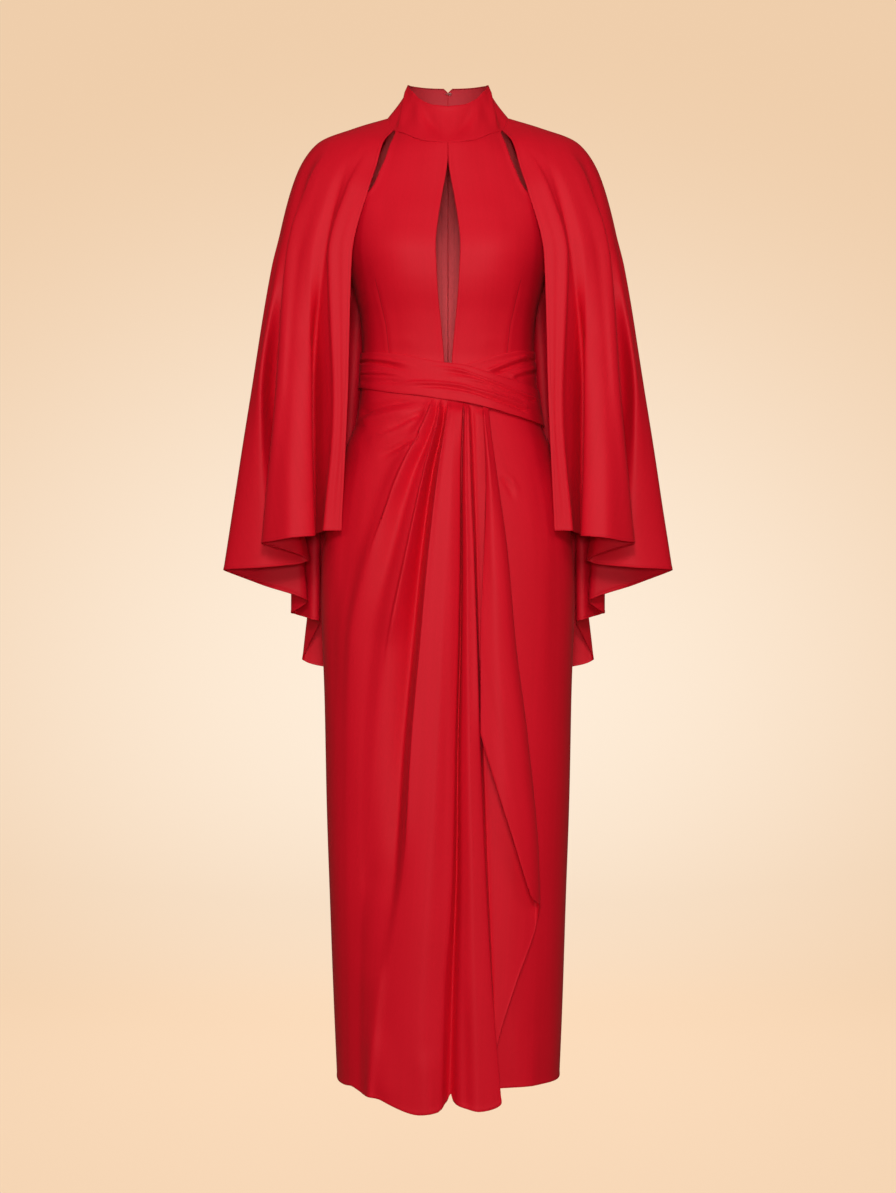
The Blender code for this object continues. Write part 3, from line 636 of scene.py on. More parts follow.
makeBodice()
print("bodice made")

# Waist wrap.

waist = {
    "overColumns": ("across", "top", "bottom", "standsOff"),
    "over": ((-124, 333.5, 383, 1), (-101, 336, 389, 1), (-75, 339.5, 394.5, 1.2),
             (-40, 347, 399, 2.2), (-10, 352.5, 404, 3.4), (21.5, 356.6, 409, 6.4),
             (52, 366, 416.6, 7.6), (87, 376, 427, 4.6), (124, 385.5, 437.5, 3.3)),
    "under": ((4, 363.5), (21.5, 357), (48, 348.7), (80, 339), (105, 333.4), (124, 332)),
    "tuck": 12,
    "layer": 1,
    "puff": 0.96,
    "side": 124,
    "back": {"top": 334, "bottom": 383.5, "sideBottom": 437, "standsOff": 1.8},
    "level": 360,
    "mesh": {"over": (44, 52), "under": (30, 50), "back": (28, 52), "columns": 80},
    "cut": {"over": ((0.34, 0.09), 0.027, "gathered"), "under": ((0.17, 0.09), 0.0105, "gathered"),
            "right": ((0.15, 0.115), 0.0135, "gathered"), "left": ((0.15, 0.085), 0.0105, "gathered")},
}


def bandEdge(across, name):
    return read(waist["over"], waist["overColumns"], "across", name, across)


def bandShares(name, start=0, bottom="turned"):
    fine = waist["mesh"]
    columns = np.linspace(start, 1, (1 - start) * fine["columns"] + 1)
    share, down = np.meshgrid(columns, shares(*fine[name], "turned", bottom))
    return share, down, np.full_like(share, waist["level"])


def overBandGrid():
    share, down, level = bandShares("over", -1)
    angle = share * sideSeam(level)
    across = formPoint(angle, level)[..., 0]
    drop = mix(bandEdge(across, "top"), bandEdge(across, "bottom"), down)
    off = bandEdge(across, "standsOff") + wall["crepe"]
    return formPoint(angle, drop, off + waist["puff"] * ease(6 * down) * ease(6 - 6 * down))


def underBandGrid():
    share, down, level = bandShares("under", bottom="plain")
    angle = mix(formAngle(waist["under"][0][0], level), sideSeam(level), share)
    across = formPoint(angle, level)[..., 0]
    top = smooth(*zip(*waist["under"]), across)
    drop = mix(top, bandEdge(across, "top") + waist["tuck"], down)
    return formPoint(angle, drop, waist["layer"] + wall["crepe"])


def backBandGrid(sideBottom):
    back = waist["back"]
    share, down, level = bandShares("back")
    angle = mix(180 - sideSeam(level), 180 - formAngle(closed, level, "back"), share)
    drop = mix(back["top"], mix(sideBottom, back["bottom"], ease(1.4 * share)), down)
    return formPoint(angle, drop, back["standsOff"] + wall["crepe"])


def makeWaist():
    overFolds = [
        (1.3, 4.5, -3.6, 0, 0.4, -122, 348, -100, 352, -80, 357, -52, 366),
        (3, 2.4, 2, 0, 0.4, -122, 343, -98, 347, -70, 352, -40, 360),
        (4, 1.8, 2.4, 0, 0.5, -121, 362, -98, 365, -78, 368, -58, 372),
        (1.5, 3.5, -2, 0, 0.5, -121, 366, -98, 369, -78, 371.5, -60, 375),
        (3, 4, -1.8, 0, 0.5, -118, 376, -92, 378, -70, 380, -52, 381),
        (5, 2, 3.2, 0.25, 0, -71, 381, -40, 381, 12, 385, 38, 392, 67, 400, 107, 413),
        (1.8, 4.5, -3, 0.3, 0, -60, 386, -20, 386.5, 18, 391, 60, 403.5, 106, 419),
        (3.5, 1.8, 2.8, 0.4, 0, -30, 359, 8, 363, 44, 374, 86, 389, 122, 400),
        (1.6, 4, -3, 0.35, 0, -14, 365, 26, 371, 66, 385, 118, 404),
        (2.4, 2.4, -1.4, 0.4, 0.2, 10, 377, 50, 385, 86, 397, 120, 409),
        (2.6, 1.8, 1.2, 0.4, 0.3, -20, 372, 30, 377, 70, 389, 112, 402),
        (2, 2.6, 1.1, 0.4, 0.2, -40, 391, 6, 394, 50, 404, 96, 420),
    ]
    addSheet("waist_wrap_over", overBandGrid(), ("seam", "seam", "turned", "turned"), clothFinish,
             waist["cut"]["over"], overFolds, number=8)
    underFolds = [
        (1.4, 3.6, -3.4, 0.2, 0, 60, 370, 77, 363.5, 97, 355, 121, 346),
        (3.5, 1.8, 2.6, 0.2, 0, 50, 366, 67, 359, 86, 350, 108, 341),
        (4, 1.8, 2.4, 0.2, 0, 84, 372, 100, 364, 121, 356),
        (1.6, 3.5, -2.4, 0.2, 0, 92, 375, 106, 370, 121, 364),
    ]
    addSheet("waist_wrap_under", underBandGrid(), ("turned", "seam", "turned", "plain"), clothFinish,
             waist["cut"]["under"], underFolds, 0.25, 9)
    for side, sign in sides:
        grid = backBandGrid(waist["back"]["sideBottom" if sign > 0 else "bottom"])
        folds = [
            (2.4, 6, -0.9, 0, 0.4, sign * 118, 352, sign * 80, 349, sign * 36, 352),
            (6, 2.4, 0.9, 0, 0.4, sign * 120, 366, sign * 84, 366, sign * 22, 366),
        ]
        addSheet(f"waist_back_{side}", onSide(grid, sign), ("seam", "seam", "turned", "turned"),
                 clothFinish, waist["cut"][side], folds, number=11 + sign)


makeWaist()
print("waist wrap made")

# Skirt.

skirt = {
    "hem": {"back": 1357, "under": 1355},
    "underStart": 8,
    "gatherRise": 14,
    "crispLines": (2, 4, 6, 8, 10),
    "crispSteps": (-0.16, -0.07, -0.03, 0.03, 0.07, 0.16),
    "edgeSteps": (0.012, 0.03),
    "calmCascade": (12.5, 0.35),  # creases are fainter beyond this line
    "creasesFrom": (398, 14),
    "otherSide": (0.93, 1.03),  # how the left back's folds differ from the right one's
    "mesh": {"over": (200, 985), "under": ((70, 180), (150, 960)), "back": ((80, 200), (150, 970))},
    "bunch": {"over": 1.3, "plain": 1.15},  # how much closer rows lie near the waist
    "cut": {"over": ((0.64, 1.04), 0.44, "draped"), "under": ((0.27, 0.98), 0.22, "stretched"),
            "back": ((0.27, 0.99), 0.23, "stretched")},
    "folds": (  # line, widths before and after it, height, drops where it starts and ends
        (2, 0.07, 0.45, 3, 350, 640), (1.86, 0.3, 0.1, -2, 350, 620),
        (3, 0.3, 0.3, -1.5, 350, 700),
        (4, 0.06, 0.35, 3.6, 350, 780), (3.88, 0.35, 0.08, -2.6, 350, 740),
        (4, 0.8, 0.6, -4.5, 700, 1150),
        (5, 0.5, 0.35, -6, 400, 1080),
        (6, 0.05, 0.35, 3, 350, 1060), (5.84, 0.5, 0.1, -3.5, 350, 1060),
        (5, 1.4, 0.8, 4.5, 1060, 1700), (5, 1.4, 0.8, 4.5, 1170, 1700),
        (7.82, 0.5, 0.08, 5, 350, 1600),
        (8, 0.09, 0.13, -11, 350, 1600),
        (8.26, 0.14, 0.6, 4.4, 350, 1600),
        (10, 0.45, 0.09, 2.6, 380, 900),
        (10.4, 0.28, 0.6, -4.5, 380, 1300),
    ),
    "hemSteps": ((7.78, 0.55, 0.1, 9), (8.02, 0.035, 0.05, -12), (8.3, 0.16, 0.4, 2)),
    "foldDrops": (400, 430, 510, 620, 740, 880, 1050, 1210, 1386),
    "columns": ("line", "hem", "tuckLift", "steps", "across", "lift"),
    "lines": (
        ("valley1", 1359, 0.6, 26,
         (-30, -44, -92, -128, -148, -152, -150, -147, -143), (1, 3, 2, 1, 0, 0, 0, 0, 0)),
        ("pleat1", 1358, 1.9, 9,
         (-19.5, -31, -69.5, -108, -134, -139, -139, -138, -135), (3, 9, 13, 10, 5, 2, 1, 1, 1)),
        ("valley2", 1363, 1.9, 9,
         (-14, -18, -48, -79, -107, -119, -123, -124, -123), (2, 4, 4, 3, 2, 1, 1, 1, 1)),
        ("pleat2", 1366, 1.9, 9,
         (-9.6, -14, -34.4, -58.3, -82.4, -99.7, -110, -115, -117), (4, 10, 15, 15, 11, 6, 3, 2, 2)),
        ("valley3", 1367, 1.9, 10,
         (-4, -6, -22, -37, -49, -62, -74, -97, -112), (3, 4, 3, 1, -1, -2, 3, 7, 7)),
        ("pleat3", 1369, 1.9, 10,
         (1.4, -2, -14.4, -27.4, -38.5, -50.6, -60.6, -82, -98), (4, 11, 19, 23, 25, 25, 20, 14, 10)),
        ("face3", 1386, 1.9, 10,
         (12, 9, 2, -5, -11, -18, -27, -38, -46), (5, 12, 20, 25, 27, 27, 26, 23, 18)),
        ("groove", 1373, 1.9, 12,
         (22.6, 21, 18.5, 18.3, 16.8, 13.6, 11.7, 6, 1.4), (4, 7, 9, 11, 12, 12, 12, 10, 6)),
        ("face4", 1382, 1.9, 12, (25, 25, 25, 27, 28, 30, 34, 38, 44), (5, 12, 19, 22, 23, 24, 25, 25, 22)),
        ("pleat4", 1371, 1.9, 9,
         (28, 29, 31, 35.7, 39.8, 44.1, 51.6, 60.6, 74.7), (4, 10, 16, 18, 19, 20, 21, 21, 20)),
        ("valley5", 1318, 1.9, 10, (35, 36, 38, 41, 44, 50, 56, 62, 66), (3, 5, 6, 6, 6, 6, 6, 6, 6)),
        ("lining5", 1207, 1.9, 9, (44, 45, 51, 60, 67, 80, 90, 95, 96), (3, 5, 6, 7, 7, 8, 9, 9, 9)),
        ("turnIn", 1136, 1.9, 9, (50, 51, 59, 72, 82, 99, 117, 122, 122), (3, 5, 7, 8, 8, 9, 10, 10, 10)),
        ("turn", 1104, 3.4, 8,
         (54.1, 56, 66.1, 80.8, 91.5, 109.1, 124.1, 127, 127), (4, 10, 14, 17, 18, 20, 20, 20, 20)),
        ("turnOut", 1091, 4.9, 8,
         (50, 51, 60, 73, 83, 100, 114, 117, 117), (6, 14, 21, 26, 28, 30, 29, 29, 29)),
        ("upperRidge", 990, 4.9, 10,
         (48, 50, 57, 63, 68, 77, 84, 84, 84), (6, 15, 23, 28, 31, 33, 32, 32, 32)),
        ("freeEdge", 866, 4.9, 10,
         (46.5, 49, 52, 48.5, 44.5, 44.5, 44.5, 44.5, 44.5), (6, 13, 18, 21, 23, 24, 24, 24, 24)),
    ),
}


def overlayGrid():
    lines, names = skirt["lines"], skirt["columns"]
    place = [0.0]
    for number, count in enumerate(columnOf(lines, names, "steps")):
        place += [number + part / count for part in range(1, count + 1)]
    for line in skirt["crispLines"]:
        place += [line + off for off in skirt["crispSteps"]]
    place = np.unique(np.round(place + [*skirt["edgeSteps"], len(lines) - 0.05], 4))
    place, down = np.meshgrid(place, shares(*skirt["mesh"]["over"], "plain", "turned"))
    knots = np.arange(len(lines) + 1.0)
    acrosses = columnOf(lines, names, "across")
    lifts = columnOf(lines, names, "lift")
    starts = np.array([-waist["side"]] + [row[0] for row in acrosses])
    band = smooth(knots, bandEdge(starts, "bottom"), place)
    hem = smooth(knots, [skirt["hem"]["back"]] + columnOf(lines, names, "hem"), place)
    for at, before, after, longer in skirt["hemSteps"]:
        hem = hem + bulge(place - at, longer, before, after)
    drop = mix(band - waist["tuck"], hem, down ** skirt["bunch"]["over"])
    angles = [-sideSeam(drop)]
    angles += [formAngle(smooth(skirt["foldDrops"], across, drop), drop) for across in acrosses]
    stands = [np.zeros_like(drop)] + [smooth(skirt["foldDrops"], lift, drop) for lift in lifts]
    tucks = smooth(knots, [0.0] + columnOf(lines, names, "tuckLift"), place)
    lift = smooth(knots, np.array(stands), place) + foldRelief(place, drop, skirt["folds"])
    points = formPoint(smooth(knots, np.array(angles), place), drop)
    points[..., 1] -= mix(tucks, lift, ease((drop - band) / skirt["gatherRise"]))
    return points, place, drop


def makeOverlay():
    points, place, drop = overlayGrid()
    creases = [
        (2.2, 8, -5, 0.1, 0.25, -124, 423, -100, 416, -75, 410, -36, 406),
        (7, 2.6, 3.4, 0.1, 0.3, -122, 433, -98, 427, -72, 421, -44, 415),
        (2.2, 8, -5, 0.2, 0.4, -31, 418, -53, 430, -76, 442, -98, 455),
        (6, 2.6, 3.4, 0.2, 0.4, -38, 428, -60, 441, -82, 452, -100, 462),
        (2.2, 8, -4.6, 0.2, 0.4, -36, 449, -58, 463, -80, 475, -102, 484),
        (6, 2.6, 3, 0.3, 0.4, -44, 462, -66, 476, -90, 488),
        (6, 8, -1.6, 0.4, 0.4, -112, 440, -118, 462, -116, 482),
        (12, 20, -2.2, 0.4, 0.4, -60, 520, -92, 560, -112, 610),
        (10, 16, -2, 0.4, 0.4, -120, 500, -136, 560, -145, 640, -150, 730),
        (6, 9, -1.5, 0.3, 0.4, -156, 640, -161, 740, -158, 860),
        (14, 18, 3, 0.5, 0, -98, 1260, -96, 1310, -90, 1352),
        (12, 18, 2.6, 0.5, 0, -32, 1290, -30, 1330, -28, 1380),
        (16, 22, -2.2, 0.4, 0.4, -128, 900, -126, 1060, -120, 1240),
        (6, 8, -2, 0.5, 0, 20, 1180, 22, 1280, 24, 1370),
    ]
    beyond, faint = skirt["calmCascade"]
    start, reach = skirt["creasesFrom"]
    calm = np.where(place > beyond, faint, 1.0) * ease((drop - start) / reach)
    addSheet("skirt_front_overlay", points, ("seam", "turned", "plain", "turned"), bothSides,
             skirt["cut"]["over"], creases, 0.5, 14, calm=calm)


def underPanelGrid():
    columns, rows = skirt["mesh"]["under"]
    share, down = np.meshgrid(shares(*columns, "turned", "seam"), shares(*rows, "plain", "turned"))
    top = bandEdge(mix(skirt["underStart"], waist["side"], share), "bottom") - waist["tuck"]
    drop = mix(top, skirt["hem"]["under"], down ** skirt["bunch"]["plain"])
    angle = mix(formAngle(skirt["underStart"], drop), sideSeam(drop), share)
    return formPoint(angle, drop)


def backSkirtGrid(sideTop):
    columns, rows = skirt["mesh"]["back"]
    share, down = np.meshgrid(shares(*columns, "seam", "seam"), shares(*rows, "plain", "turned"))
    top = mix(sideTop, waist["back"]["bottom"], ease(1.4 * share)) - waist["tuck"]
    drop = mix(top, skirt["hem"]["back"], down ** skirt["bunch"]["plain"])
    angle = mix(180 - sideSeam(drop), 180 - formAngle(closed, drop, "back"), share)
    return formPoint(angle, drop)


def makeSkirt():
    makeOverlay()
    underFolds = [
        (2.2, 5, -3, 0.3, 0.5, 70, 512, 79, 520, 87, 534, 90, 546),
        (5, 2.5, 2, 0.3, 0.5, 66, 506, 80, 512, 94, 524, 100, 540),
        (10, 16, -1.8, 0.3, 0.4, 140, 520, 152, 620, 150, 760, 146, 900),
        (10, 14, -1.3, 0.3, 0.5, 118, 470, 130, 560, 134, 660),
        (12, 16, 1.6, 0.5, 0, 92, 1240, 98, 1300, 104, 1352),
        (12, 14, -1.3, 0.5, 0, 136, 1180, 134, 1270, 132, 1352),
        (10, 14, 1.3, 0.5, 0, 120, 1270, 118, 1310, 116, 1354),
    ]
    addSheet("skirt_front_under", underPanelGrid(), ("turned", "seam", "plain", "turned"), clothFinish,
             skirt["cut"]["under"], underFolds, 0.5, 15, grainFrom=1)
    backFolds = [
        (1.2, 1.2, -0.9, 0, 0.3, 74, 400, 70, 440, 60, 500), (8, 8, 0.8, 0, 0.5, 74, 400, 70, 440, 60, 500),
        (2.6, 8, -2.6, 0.2, 0.4, 112, 424, 92, 436, 70, 441, 48, 440),
        (7, 3, 2, 0.2, 0.4, 116, 438, 94, 452, 70, 458),
        (3, 9, -2.4, 0.3, 0.4, 126, 462, 104, 482, 80, 492, 56, 494),
        (8, 3, 1.8, 0.3, 0.4, 128, 480, 108, 500, 86, 510),
        (9, 16, -3.6, 0.35, 0.4, 132, 540, 140, 680, 134, 840, 124, 980),
        (12, 8, 3, 0.3, 0.4, 112, 560, 116, 700, 112, 860, 104, 1060),
        (10, 18, -3.2, 0.35, 0.4, 66, 600, 72, 780, 66, 960, 58, 1180),
        (14, 20, 2.6, 0.4, 0.4, 90, 700, 94, 900, 88, 1160),
        (12, 18, -2.6, 0.5, 0, 26, 820, 30, 1060, 28, 1350),
        (10, 16, 3, 0.5, 0, 134, 1060, 132, 1210, 128, 1352),
        (9, 13, -3.4, 0.5, 0, 100, 1120, 100, 1240, 98, 1352),
        (12, 16, 2.2, 0.5, 0, 58, 1180, 60, 1270, 60, 1354),
    ]
    for side, sign in sides:
        grid = backSkirtGrid(waist["back"]["sideBottom" if sign > 0 else "bottom"])
        folds = sided(backFolds, sign, *(skirt["otherSide"] if sign < 0 else ()))
        addSheet(f"skirt_back_{side}", onSide(grid, sign), ("seam", "seam", "plain", "turned"),
                 clothFinish, skirt["cut"]["back"], folds, 0.6, 17 + sign)


makeSkirt()
print("skirt made")

# Cape sleeves.

cape = {
    "yokeColumns": ("along", "frontX", "frontY", "frontDrop", "sideX", "sideY", "sideDrop", "backY",
                    "backDrop"),
    "yoke": (
        (0.055, 90, -55, 41, 133, 2, 12.8, 76, 22),
        (0.12, 99.6, -70, 77, 183, 4, 32, 96, 62),
        (0.19, 110.3, -82, 112.5, 214, 4, 77, 109, 112),
        (0.33, 132.7, -95, 206, 245, 0, 204, 118, 205),
    ),
    "foldShares": (0, 0, 0.45, 1),
    "foldCentre": 60,  # the folds of the yoke stand out from here
    "neck": {"in": 0.5, "up": 0.3, "gap": 0.6, "back": 179.8},
    "elbow": {"along": 0.6, "drop": 400},
    "mesh": {"perFold": 8, "edges": (0.0022, 0.0176, 0.0198, 0.9962, 0.9985), "down": (150, 720),
             "bunch": (0.9, 1.25, 0.7)},
    "cut": ((0.86, 0.8), 0.47, "hung"),
    "columns": ("fold", "share", "chestLift", "elbowX", "elbowY", "hemX", "hemY", "hemDrop"),
    "folds": (
        ("edge", 0, 0, 138.5, -97, 147.4, -90, 586),
        ("strip", 0.085, 1, 156.5, -95, 171, -88, 586),
        ("valley1", 0.115, -6, 166, -84, 176, -66, 587),
        ("floor1", 0.145, -13, 189, -48, 188, -30, 590),
        ("rise1", 0.18, -3, 192, -82, 188, -88, 593),
        ("face1", 0.225, 0, 216, -88, 217, -100, 596),
        ("turn1", 0.255, 3, 229, -84, 240.5, -85, 600),
        ("ridge1", 0.285, 4, 238, -72, 258, -62, 603),
        ("valley2", 0.325, -9, 236, -38, 205, -34, 621),
        ("floor2", 0.35, -12, 242, -8, 202, -15, 628),
        ("face2", 0.41, -2, 264, -36, 258, -28, 636),
        ("ridge2", 0.49, 2, 279, -8, 317, 0, 640),
        ("rear2", 0.545, 0, 262, 30, 268, 32, 660),
        ("valley3", 0.6, -6, 226, 48, 207, 48, 684),
        ("ridge3", 0.64, 2, 224, 70, 225, 78, 701),
        ("back3", 0.67, 1, 216, 84, 222, 93, 703),
        ("valley4", 0.7, -5, 196, 88, 195, 70, 711),
        ("floor4", 0.725, -5, 186, 92, 191, 82, 718),
        ("ridge4", 0.775, 3, 168, 118, 211, 122, 770),
        ("valley5", 0.825, -4, 142, 113, 165, 126, 782),
        ("ridge5", 0.875, 3, 114, 134, 130, 158, 784),
        ("valley6", 0.93, -3, 72, 124, 78, 132, 788),
        ("centreBack", 1, 0, 0.2, 128, 0.2, 142, 790),
    ),
    "soft": (  # share, widths before and after it, height, drops where it starts and ends
        (0.085, 0.03, 0.012, 2, 50, 900), (0.03, 0.009, 0.009, 0.9, 120, 620),
        (0.058, 0.009, 0.009, -0.9, 160, 600), (0.15, 0.012, 0.01, -3, 240, 900),
        (0.182, 0.007, 0.04, 4.5, 300, 900), (0.24, 0.02, 0.02, -1.6, 160, 520),
        (0.285, 0.03, 0.01, 3, 110, 900), (0.35, 0.018, 0.04, -6, 170, 900),
        (0.4, 0.016, 0.016, 1.2, 220, 640), (0.49, 0.04, 0.02, 2, 160, 760),
        (0.45, 0.018, 0.018, -1.4, 130, 560),
        (0.56, 0.022, 0.018, -2.4, 140, 620), (0.6, 0.02, 0.03, -5, 190, 900),
        (0.64, 0.024, 0.012, 3.4, 160, 900), (0.705, 0.014, 0.024, -6, 170, 900),
        (0.738, 0.014, 0.016, 1.6, 120, 480), (0.775, 0.026, 0.012, 3.6, 190, 900),
        (0.825, 0.014, 0.026, -6, 210, 900), (0.875, 0.026, 0.012, 3.6, 150, 900),
        (0.925, 0.014, 0.022, -5, 230, 900), (0.945, 0.01, 0.01, 1, 110, 420),
        (0.965, 0.012, 0.012, -1.2, 180, 700),
    ),
}


def capeColumns(share):  # the points that each line down the cape passes, level by level
    names, folds = cape["columns"], cape["folds"]
    knots = columnOf(folds, names, "share")
    at = {name: smooth(knots, columnOf(folds, names, name), share) for name in names[2:]}
    front = share <= 0.5
    part, neck = share / 0.5, cape["neck"]
    angle = np.where(front, mix(collar["slotAngle"] + neck["gap"], 90, part), mix(90, neck["back"], part - 1))
    levels = [neckPoint(angle, collar["proud"]["cape"] - neck["in"]) + np.array((0, 0, neck["up"]))]
    turn = np.radians(90 * np.minimum(part, 1))
    back = np.radians(90 * np.maximum(part - 1, 0))
    for row, grown in zip(cape["yoke"], cape["foldShares"]):
        ring = dict(zip(cape["yokeColumns"], row))
        x = np.where(front, mix(ring["frontX"], ring["sideX"], np.sin(turn)),
                     ring["sideX"] * np.cos(back) + seam / 2)
        y = np.where(front, mix(ring["sideY"], ring["frontY"], np.cos(turn)),
                     mix(ring["sideY"], ring["backY"], np.sin(back)))
        drop = np.where(front, mix(ring["frontDrop"], ring["sideDrop"], ease(part)),
                        mix(ring["sideDrop"], ring["backDrop"], ease(part - 1)))
        out = np.stack((x - cape["foldCentre"], y), -1)
        out = out / np.linalg.norm(out, axis=-1, keepdims=True) * (grown * at["chestLift"])[:, None]
        levels.append(np.stack((x + out[:, 0], y + out[:, 1], -drop), -1))
    levels.append(np.stack((at["elbowX"], at["elbowY"], np.full_like(share, -cape["elbow"]["drop"])), -1))
    levels.append(np.stack((at["hemX"], at["hemY"], -at["hemDrop"]), -1))
    return np.array(levels)


def capeGrid():
    folds, fine = columnOf(cape["folds"], cape["columns"], "share"), cape["mesh"]
    share = [np.linspace(*ends, fine["perFold"] + 1)[:-1] for ends in zip(folds, folds[1:])]
    share = np.unique(np.concatenate(share + [[1.0], fine["edges"]]).round(5))
    along = shares(*fine["down"], "seam", "hem")
    end, power, much = fine["bunch"]
    along = np.where(along < end, mix(along, along**power, much * (1 - along / end)), along)
    levels = capeColumns(share)[:, None]
    knots = [0.0] + columnOf(cape["yoke"], cape["yokeColumns"], "along") + [cape["elbow"]["along"], 1.0]
    rows = np.repeat(along[:, None], len(share), 1)
    return np.stack([smooth(knots, levels[..., axis], rows) for axis in range(3)], -1), share


def makeCapes():
    points, share = capeGrid()
    relief = foldRelief(share[None], -points[..., 2], cape["soft"])
    for side, sign in sides:
        addSheet(f"cape_{side}", onSide(points, sign), ("hem", "hem", "seam", "hem"), bothSides,
                 cape["cut"], number=20 + sign, thick=wall["cape"], extra=relief[:, ::sign],
                 grainFrom=0.5 - 0.5 * sign)


makeCapes()
print("cape sleeves made")

# Fastenings.

coil = {"top": 26, "bottom": 576, "pitch": 1.5, "across": 1.5, "reach": 0.5, "wire": 0.26, "tilt": 24,
        "squeeze": 0.8, "sink": 0.15, "standsOff": 0.8, "steps": (12, 5)}
rounded = {"pieces": ("zip_slider", "zip_pull"), "width": 0.14, "segments": 2, "angle": 50}


def tapeFace(height):  # how far back the tape's inner face is, at a height, both in millimetres
    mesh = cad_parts["zip_tape"].data
    inner = [index for face in mesh.polygons if face.normal.y < -0.6 for index in face.vertices]
    corners = np.array([mesh.vertices[index].co[:] for index in set(inner)]) / mm
    near = corners[np.abs(corners[:, 0]) < 4]  # the tape's middle
    near = near[np.argsort(near[:, 2])]
    return np.interp(height, near[:, 2], near[:, 1])


def makeCoil():
    bpy.ops.object.select_all(action="DESELECT")
    loops = []
    for side in (-1, 1):  # one loop from each side, half a pitch apart
        around, wire = coil["steps"]
        bpy.ops.mesh.primitive_torus_add(major_segments=around, minor_segments=wire, major_radius=mm,
                                         minor_radius=coil["wire"] * mm)
        loop = bpy.context.active_object
        bpy.ops.object.mode_set(mode="EDIT")
        bpy.ops.mesh.select_all(action="SELECT")
        bpy.ops.transform.resize(value=(coil["across"] / 2, coil["squeeze"], 1.0))
        bpy.ops.transform.rotate(value=math.radians(side * coil["tilt"]), orient_axis="X",
                                 center_override=(0, 0, 0))
        shift = (side * coil["reach"] * mm, 0, side * coil["pitch"] * mm / 4)
        bpy.ops.transform.translate(value=shift)
        bpy.ops.object.mode_set(mode="OBJECT")
        loops.append(loop)
    for loop in loops:
        loop.select_set(True)
    bpy.ops.object.join()
    piece = bpy.context.active_object
    piece.name = piece.data.name = "zip_coil"
    row = piece.modifiers.new("row", "ARRAY")
    row.use_relative_offset = False
    row.use_constant_offset = True
    row.constant_offset_displace = (0, 0, -coil["pitch"] * mm)
    row.count = int((coil["top"] + coil["bottom"]) / coil["pitch"])
    applyModifiers(piece)
    places = np.empty(3 * len(piece.data.vertices), np.float32)
    piece.data.vertices.foreach_get("co", places)
    places = places.reshape(-1, 3)
    places[:, 2] += coil["top"] * mm
    off = coil["standsOff"] + coil["wire"] - coil["sink"]
    places[:, 1] += (tapeFace(places[:, 2] / mm) - off) * mm
    piece.data.vertices.foreach_set("co", places.ravel())
    piece.data.shade_smooth()
    piece.data.materials.append(nylon)
    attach(piece, gown)


makeCoil()
finishes = {"zip_slider": steel, "zip_pull": steel, "hook": hookMetal, "eye": hookMetal, "zip_tape": tape}
for node, finish in finishes.items():
    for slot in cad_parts[node].material_slots:
        slot.material = finish
for node in rounded["pieces"]:
    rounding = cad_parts[node].modifiers.new("rounding", "BEVEL")
    rounding.width = rounded["width"] * mm
    rounding.segments = rounded["segments"]
    rounding.limit_method = "ANGLE"
    rounding.angle_limit = math.radians(rounded["angle"])
print("fastenings finished")

# Stage, light and camera.

studio = {
    "floor": -1.78,
    "radius": 5.4,
    "corner": 1.6,
    "height": 5.2,
    "cornerSteps": 12,
    "turnSteps": 96,
    "paint": (0.07, 0.058, 0.047),
    "glow": {"middle": (0.97, 0.83, 0.68), "edge": (0.82, 0.582, 0.38), "centre": (0, 5.4, -1),
             "squeeze": (0.8, 0.9, 1), "reach": 2.4, "spill": 0.12},
    "camera": {"place": (0, -3.6, -0.677), "tall": 0.84703},
    "air": ((1, 0.88, 0.76), 0.18),
    "lamps": (
        ("left box", (-2.7, -2.7, 1.2), (0, 0, -0.5), 1.3, 15),
        ("right box", (2.7, -2.7, 1.3), (0, 0, -0.5), 1.3, 16.5),
        ("top", (0, -3.4, 0.75), (0, 0, -0.3), 0.6, 46),
        ("front", (0, -4.1, -0.5), (0, 0, -0.5), 0.4, 48),
        ("back", (0, 4.1, 0.2), (0, 0, -0.5), 1.2, 90),
        ("wash", (0, 1.6, 1.8), (0, 5.4, -0.4), 1.2, 40),
    ),
}


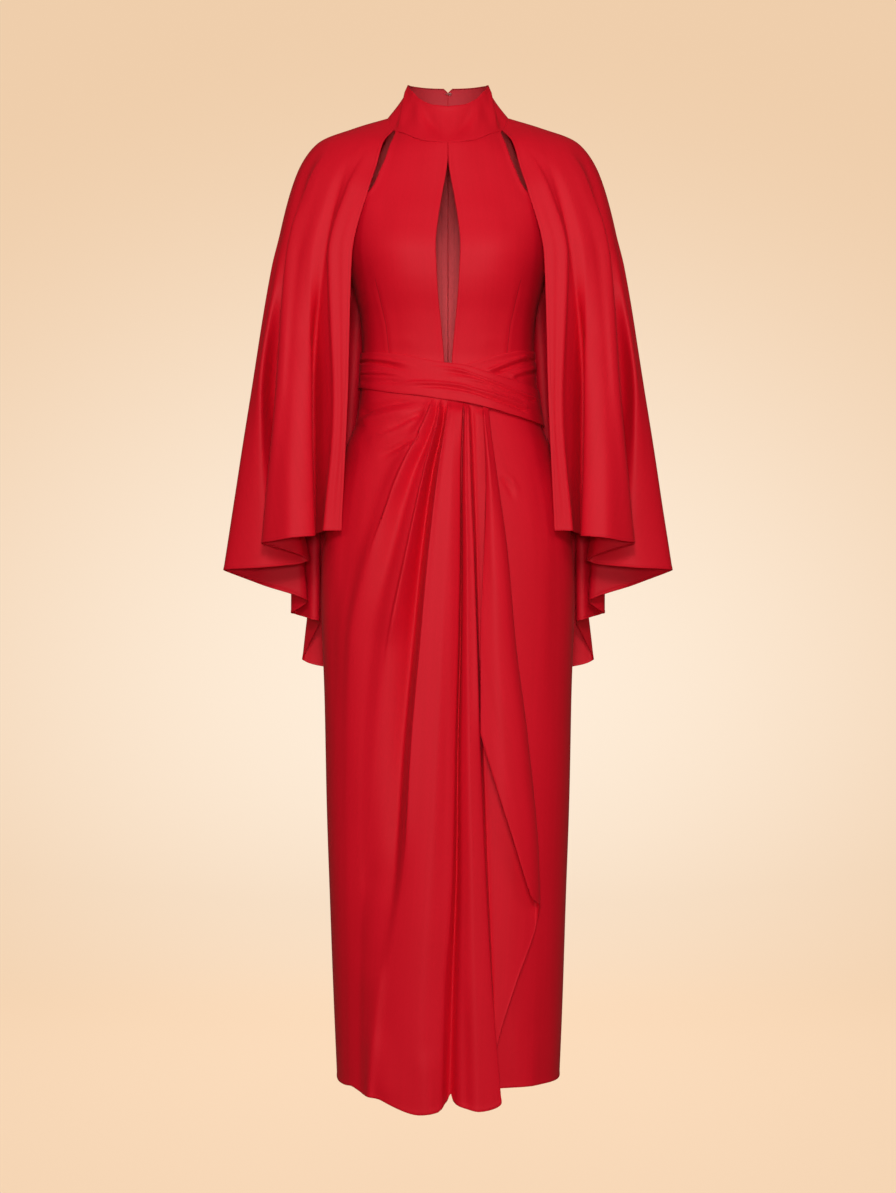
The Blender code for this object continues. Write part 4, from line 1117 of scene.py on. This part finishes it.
def makeStage():
    profile = [(0.001, studio["floor"]), (studio["radius"] - studio["corner"], studio["floor"])]
    centre = (profile[-1][0], studio["floor"] + studio["corner"])
    for step in range(1, studio["cornerSteps"] + 1):
        angle = math.radians(90 * step / studio["cornerSteps"])
        profile.append((centre[0] + studio["corner"] * math.sin(angle),
                        centre[1] - studio["corner"] * math.cos(angle)))
    profile.append((studio["radius"], studio["height"]))
    mesh = bpy.data.meshes.new("studio")
    mesh.from_pydata([(x, 0, z) for x, z in profile], [(i, i + 1) for i in range(len(profile) - 1)], [])
    bowl = addObject("studio", mesh)
    turn = bowl.modifiers.new("turn", "SCREW")
    turn.steps = turn.render_steps = studio["turnSteps"]
    turn.use_merge_vertices = True
    turn.merge_threshold = 0.0001
    applyModifiers(bowl)
    bowl.data.shade_smooth()
    material, tree, shader = startMaterial("studio paint", 0.9)
    setInputs(shader, Base_Color=(*studio["paint"], 1), Emission_Strength=1)
    glow = studio["glow"]
    place = textureSocket(tree, "Object")
    start = [-far * squeeze for far, squeeze in zip(glow["centre"], glow["squeeze"])]
    spread = place.node("ShaderNodeMapping", {}, Vector=place, Location=start, Scale=glow["squeeze"])
    far = place.node("ShaderNodeVectorMath", {"operation": "LENGTH"}, i0=Sock(tree, spread.outputs[0]))
    off = Sock(tree, far.outputs["Value"]).between(0, glow["reach"])
    seen = textureSocket(tree, "Is Camera Ray", "ShaderNodeLightPath")  # the paper glows less than it looks
    light = (seen + glow["spill"] * (1 - seen)).paint((0, 0, 0), off.paint(glow["middle"], glow["edge"]))
    tree.links.new(light.socket, shader.inputs["Emission Color"])
    bowl.data.materials.append(material)


def makeLights():
    world = bpy.data.worlds.new("studio air")
    world.use_nodes = True
    colour, strength = studio["air"]
    setInputs(world.node_tree.nodes["Background"], Color=(*colour, 1), Strength=strength)
    bpy.context.scene.world = world
    bpy.context.scene.view_settings.view_transform = "Standard"
    for name, place, target, size, power in studio["lamps"]:
        data = bpy.data.lights.new(name, "AREA")
        data.size = size
        data.energy = power
        lamp = addObject(name, data)
        aim = np.array(target, float) - np.array(place, float)
        flat = math.hypot(aim[0], aim[1])
        lamp.location = place
        lamp.rotation_euler = (math.atan2(flat, -aim[2]), 0, math.atan2(-aim[0], aim[1]))
        lamp.visible_camera = False


def makeCamera():
    data = bpy.data.cameras.new("camera")
    data.sensor_fit = "VERTICAL"
    place = studio["camera"]["place"]
    data.angle = 2 * math.atan(studio["camera"]["tall"] / -place[1])
    camera = addObject("camera", data)
    camera.location = place
    camera.rotation_euler = (math.radians(90), 0, 0)
    bpy.context.scene.camera = camera


makeStage()
makeLights()
makeCamera()
print("stage, light and camera set")
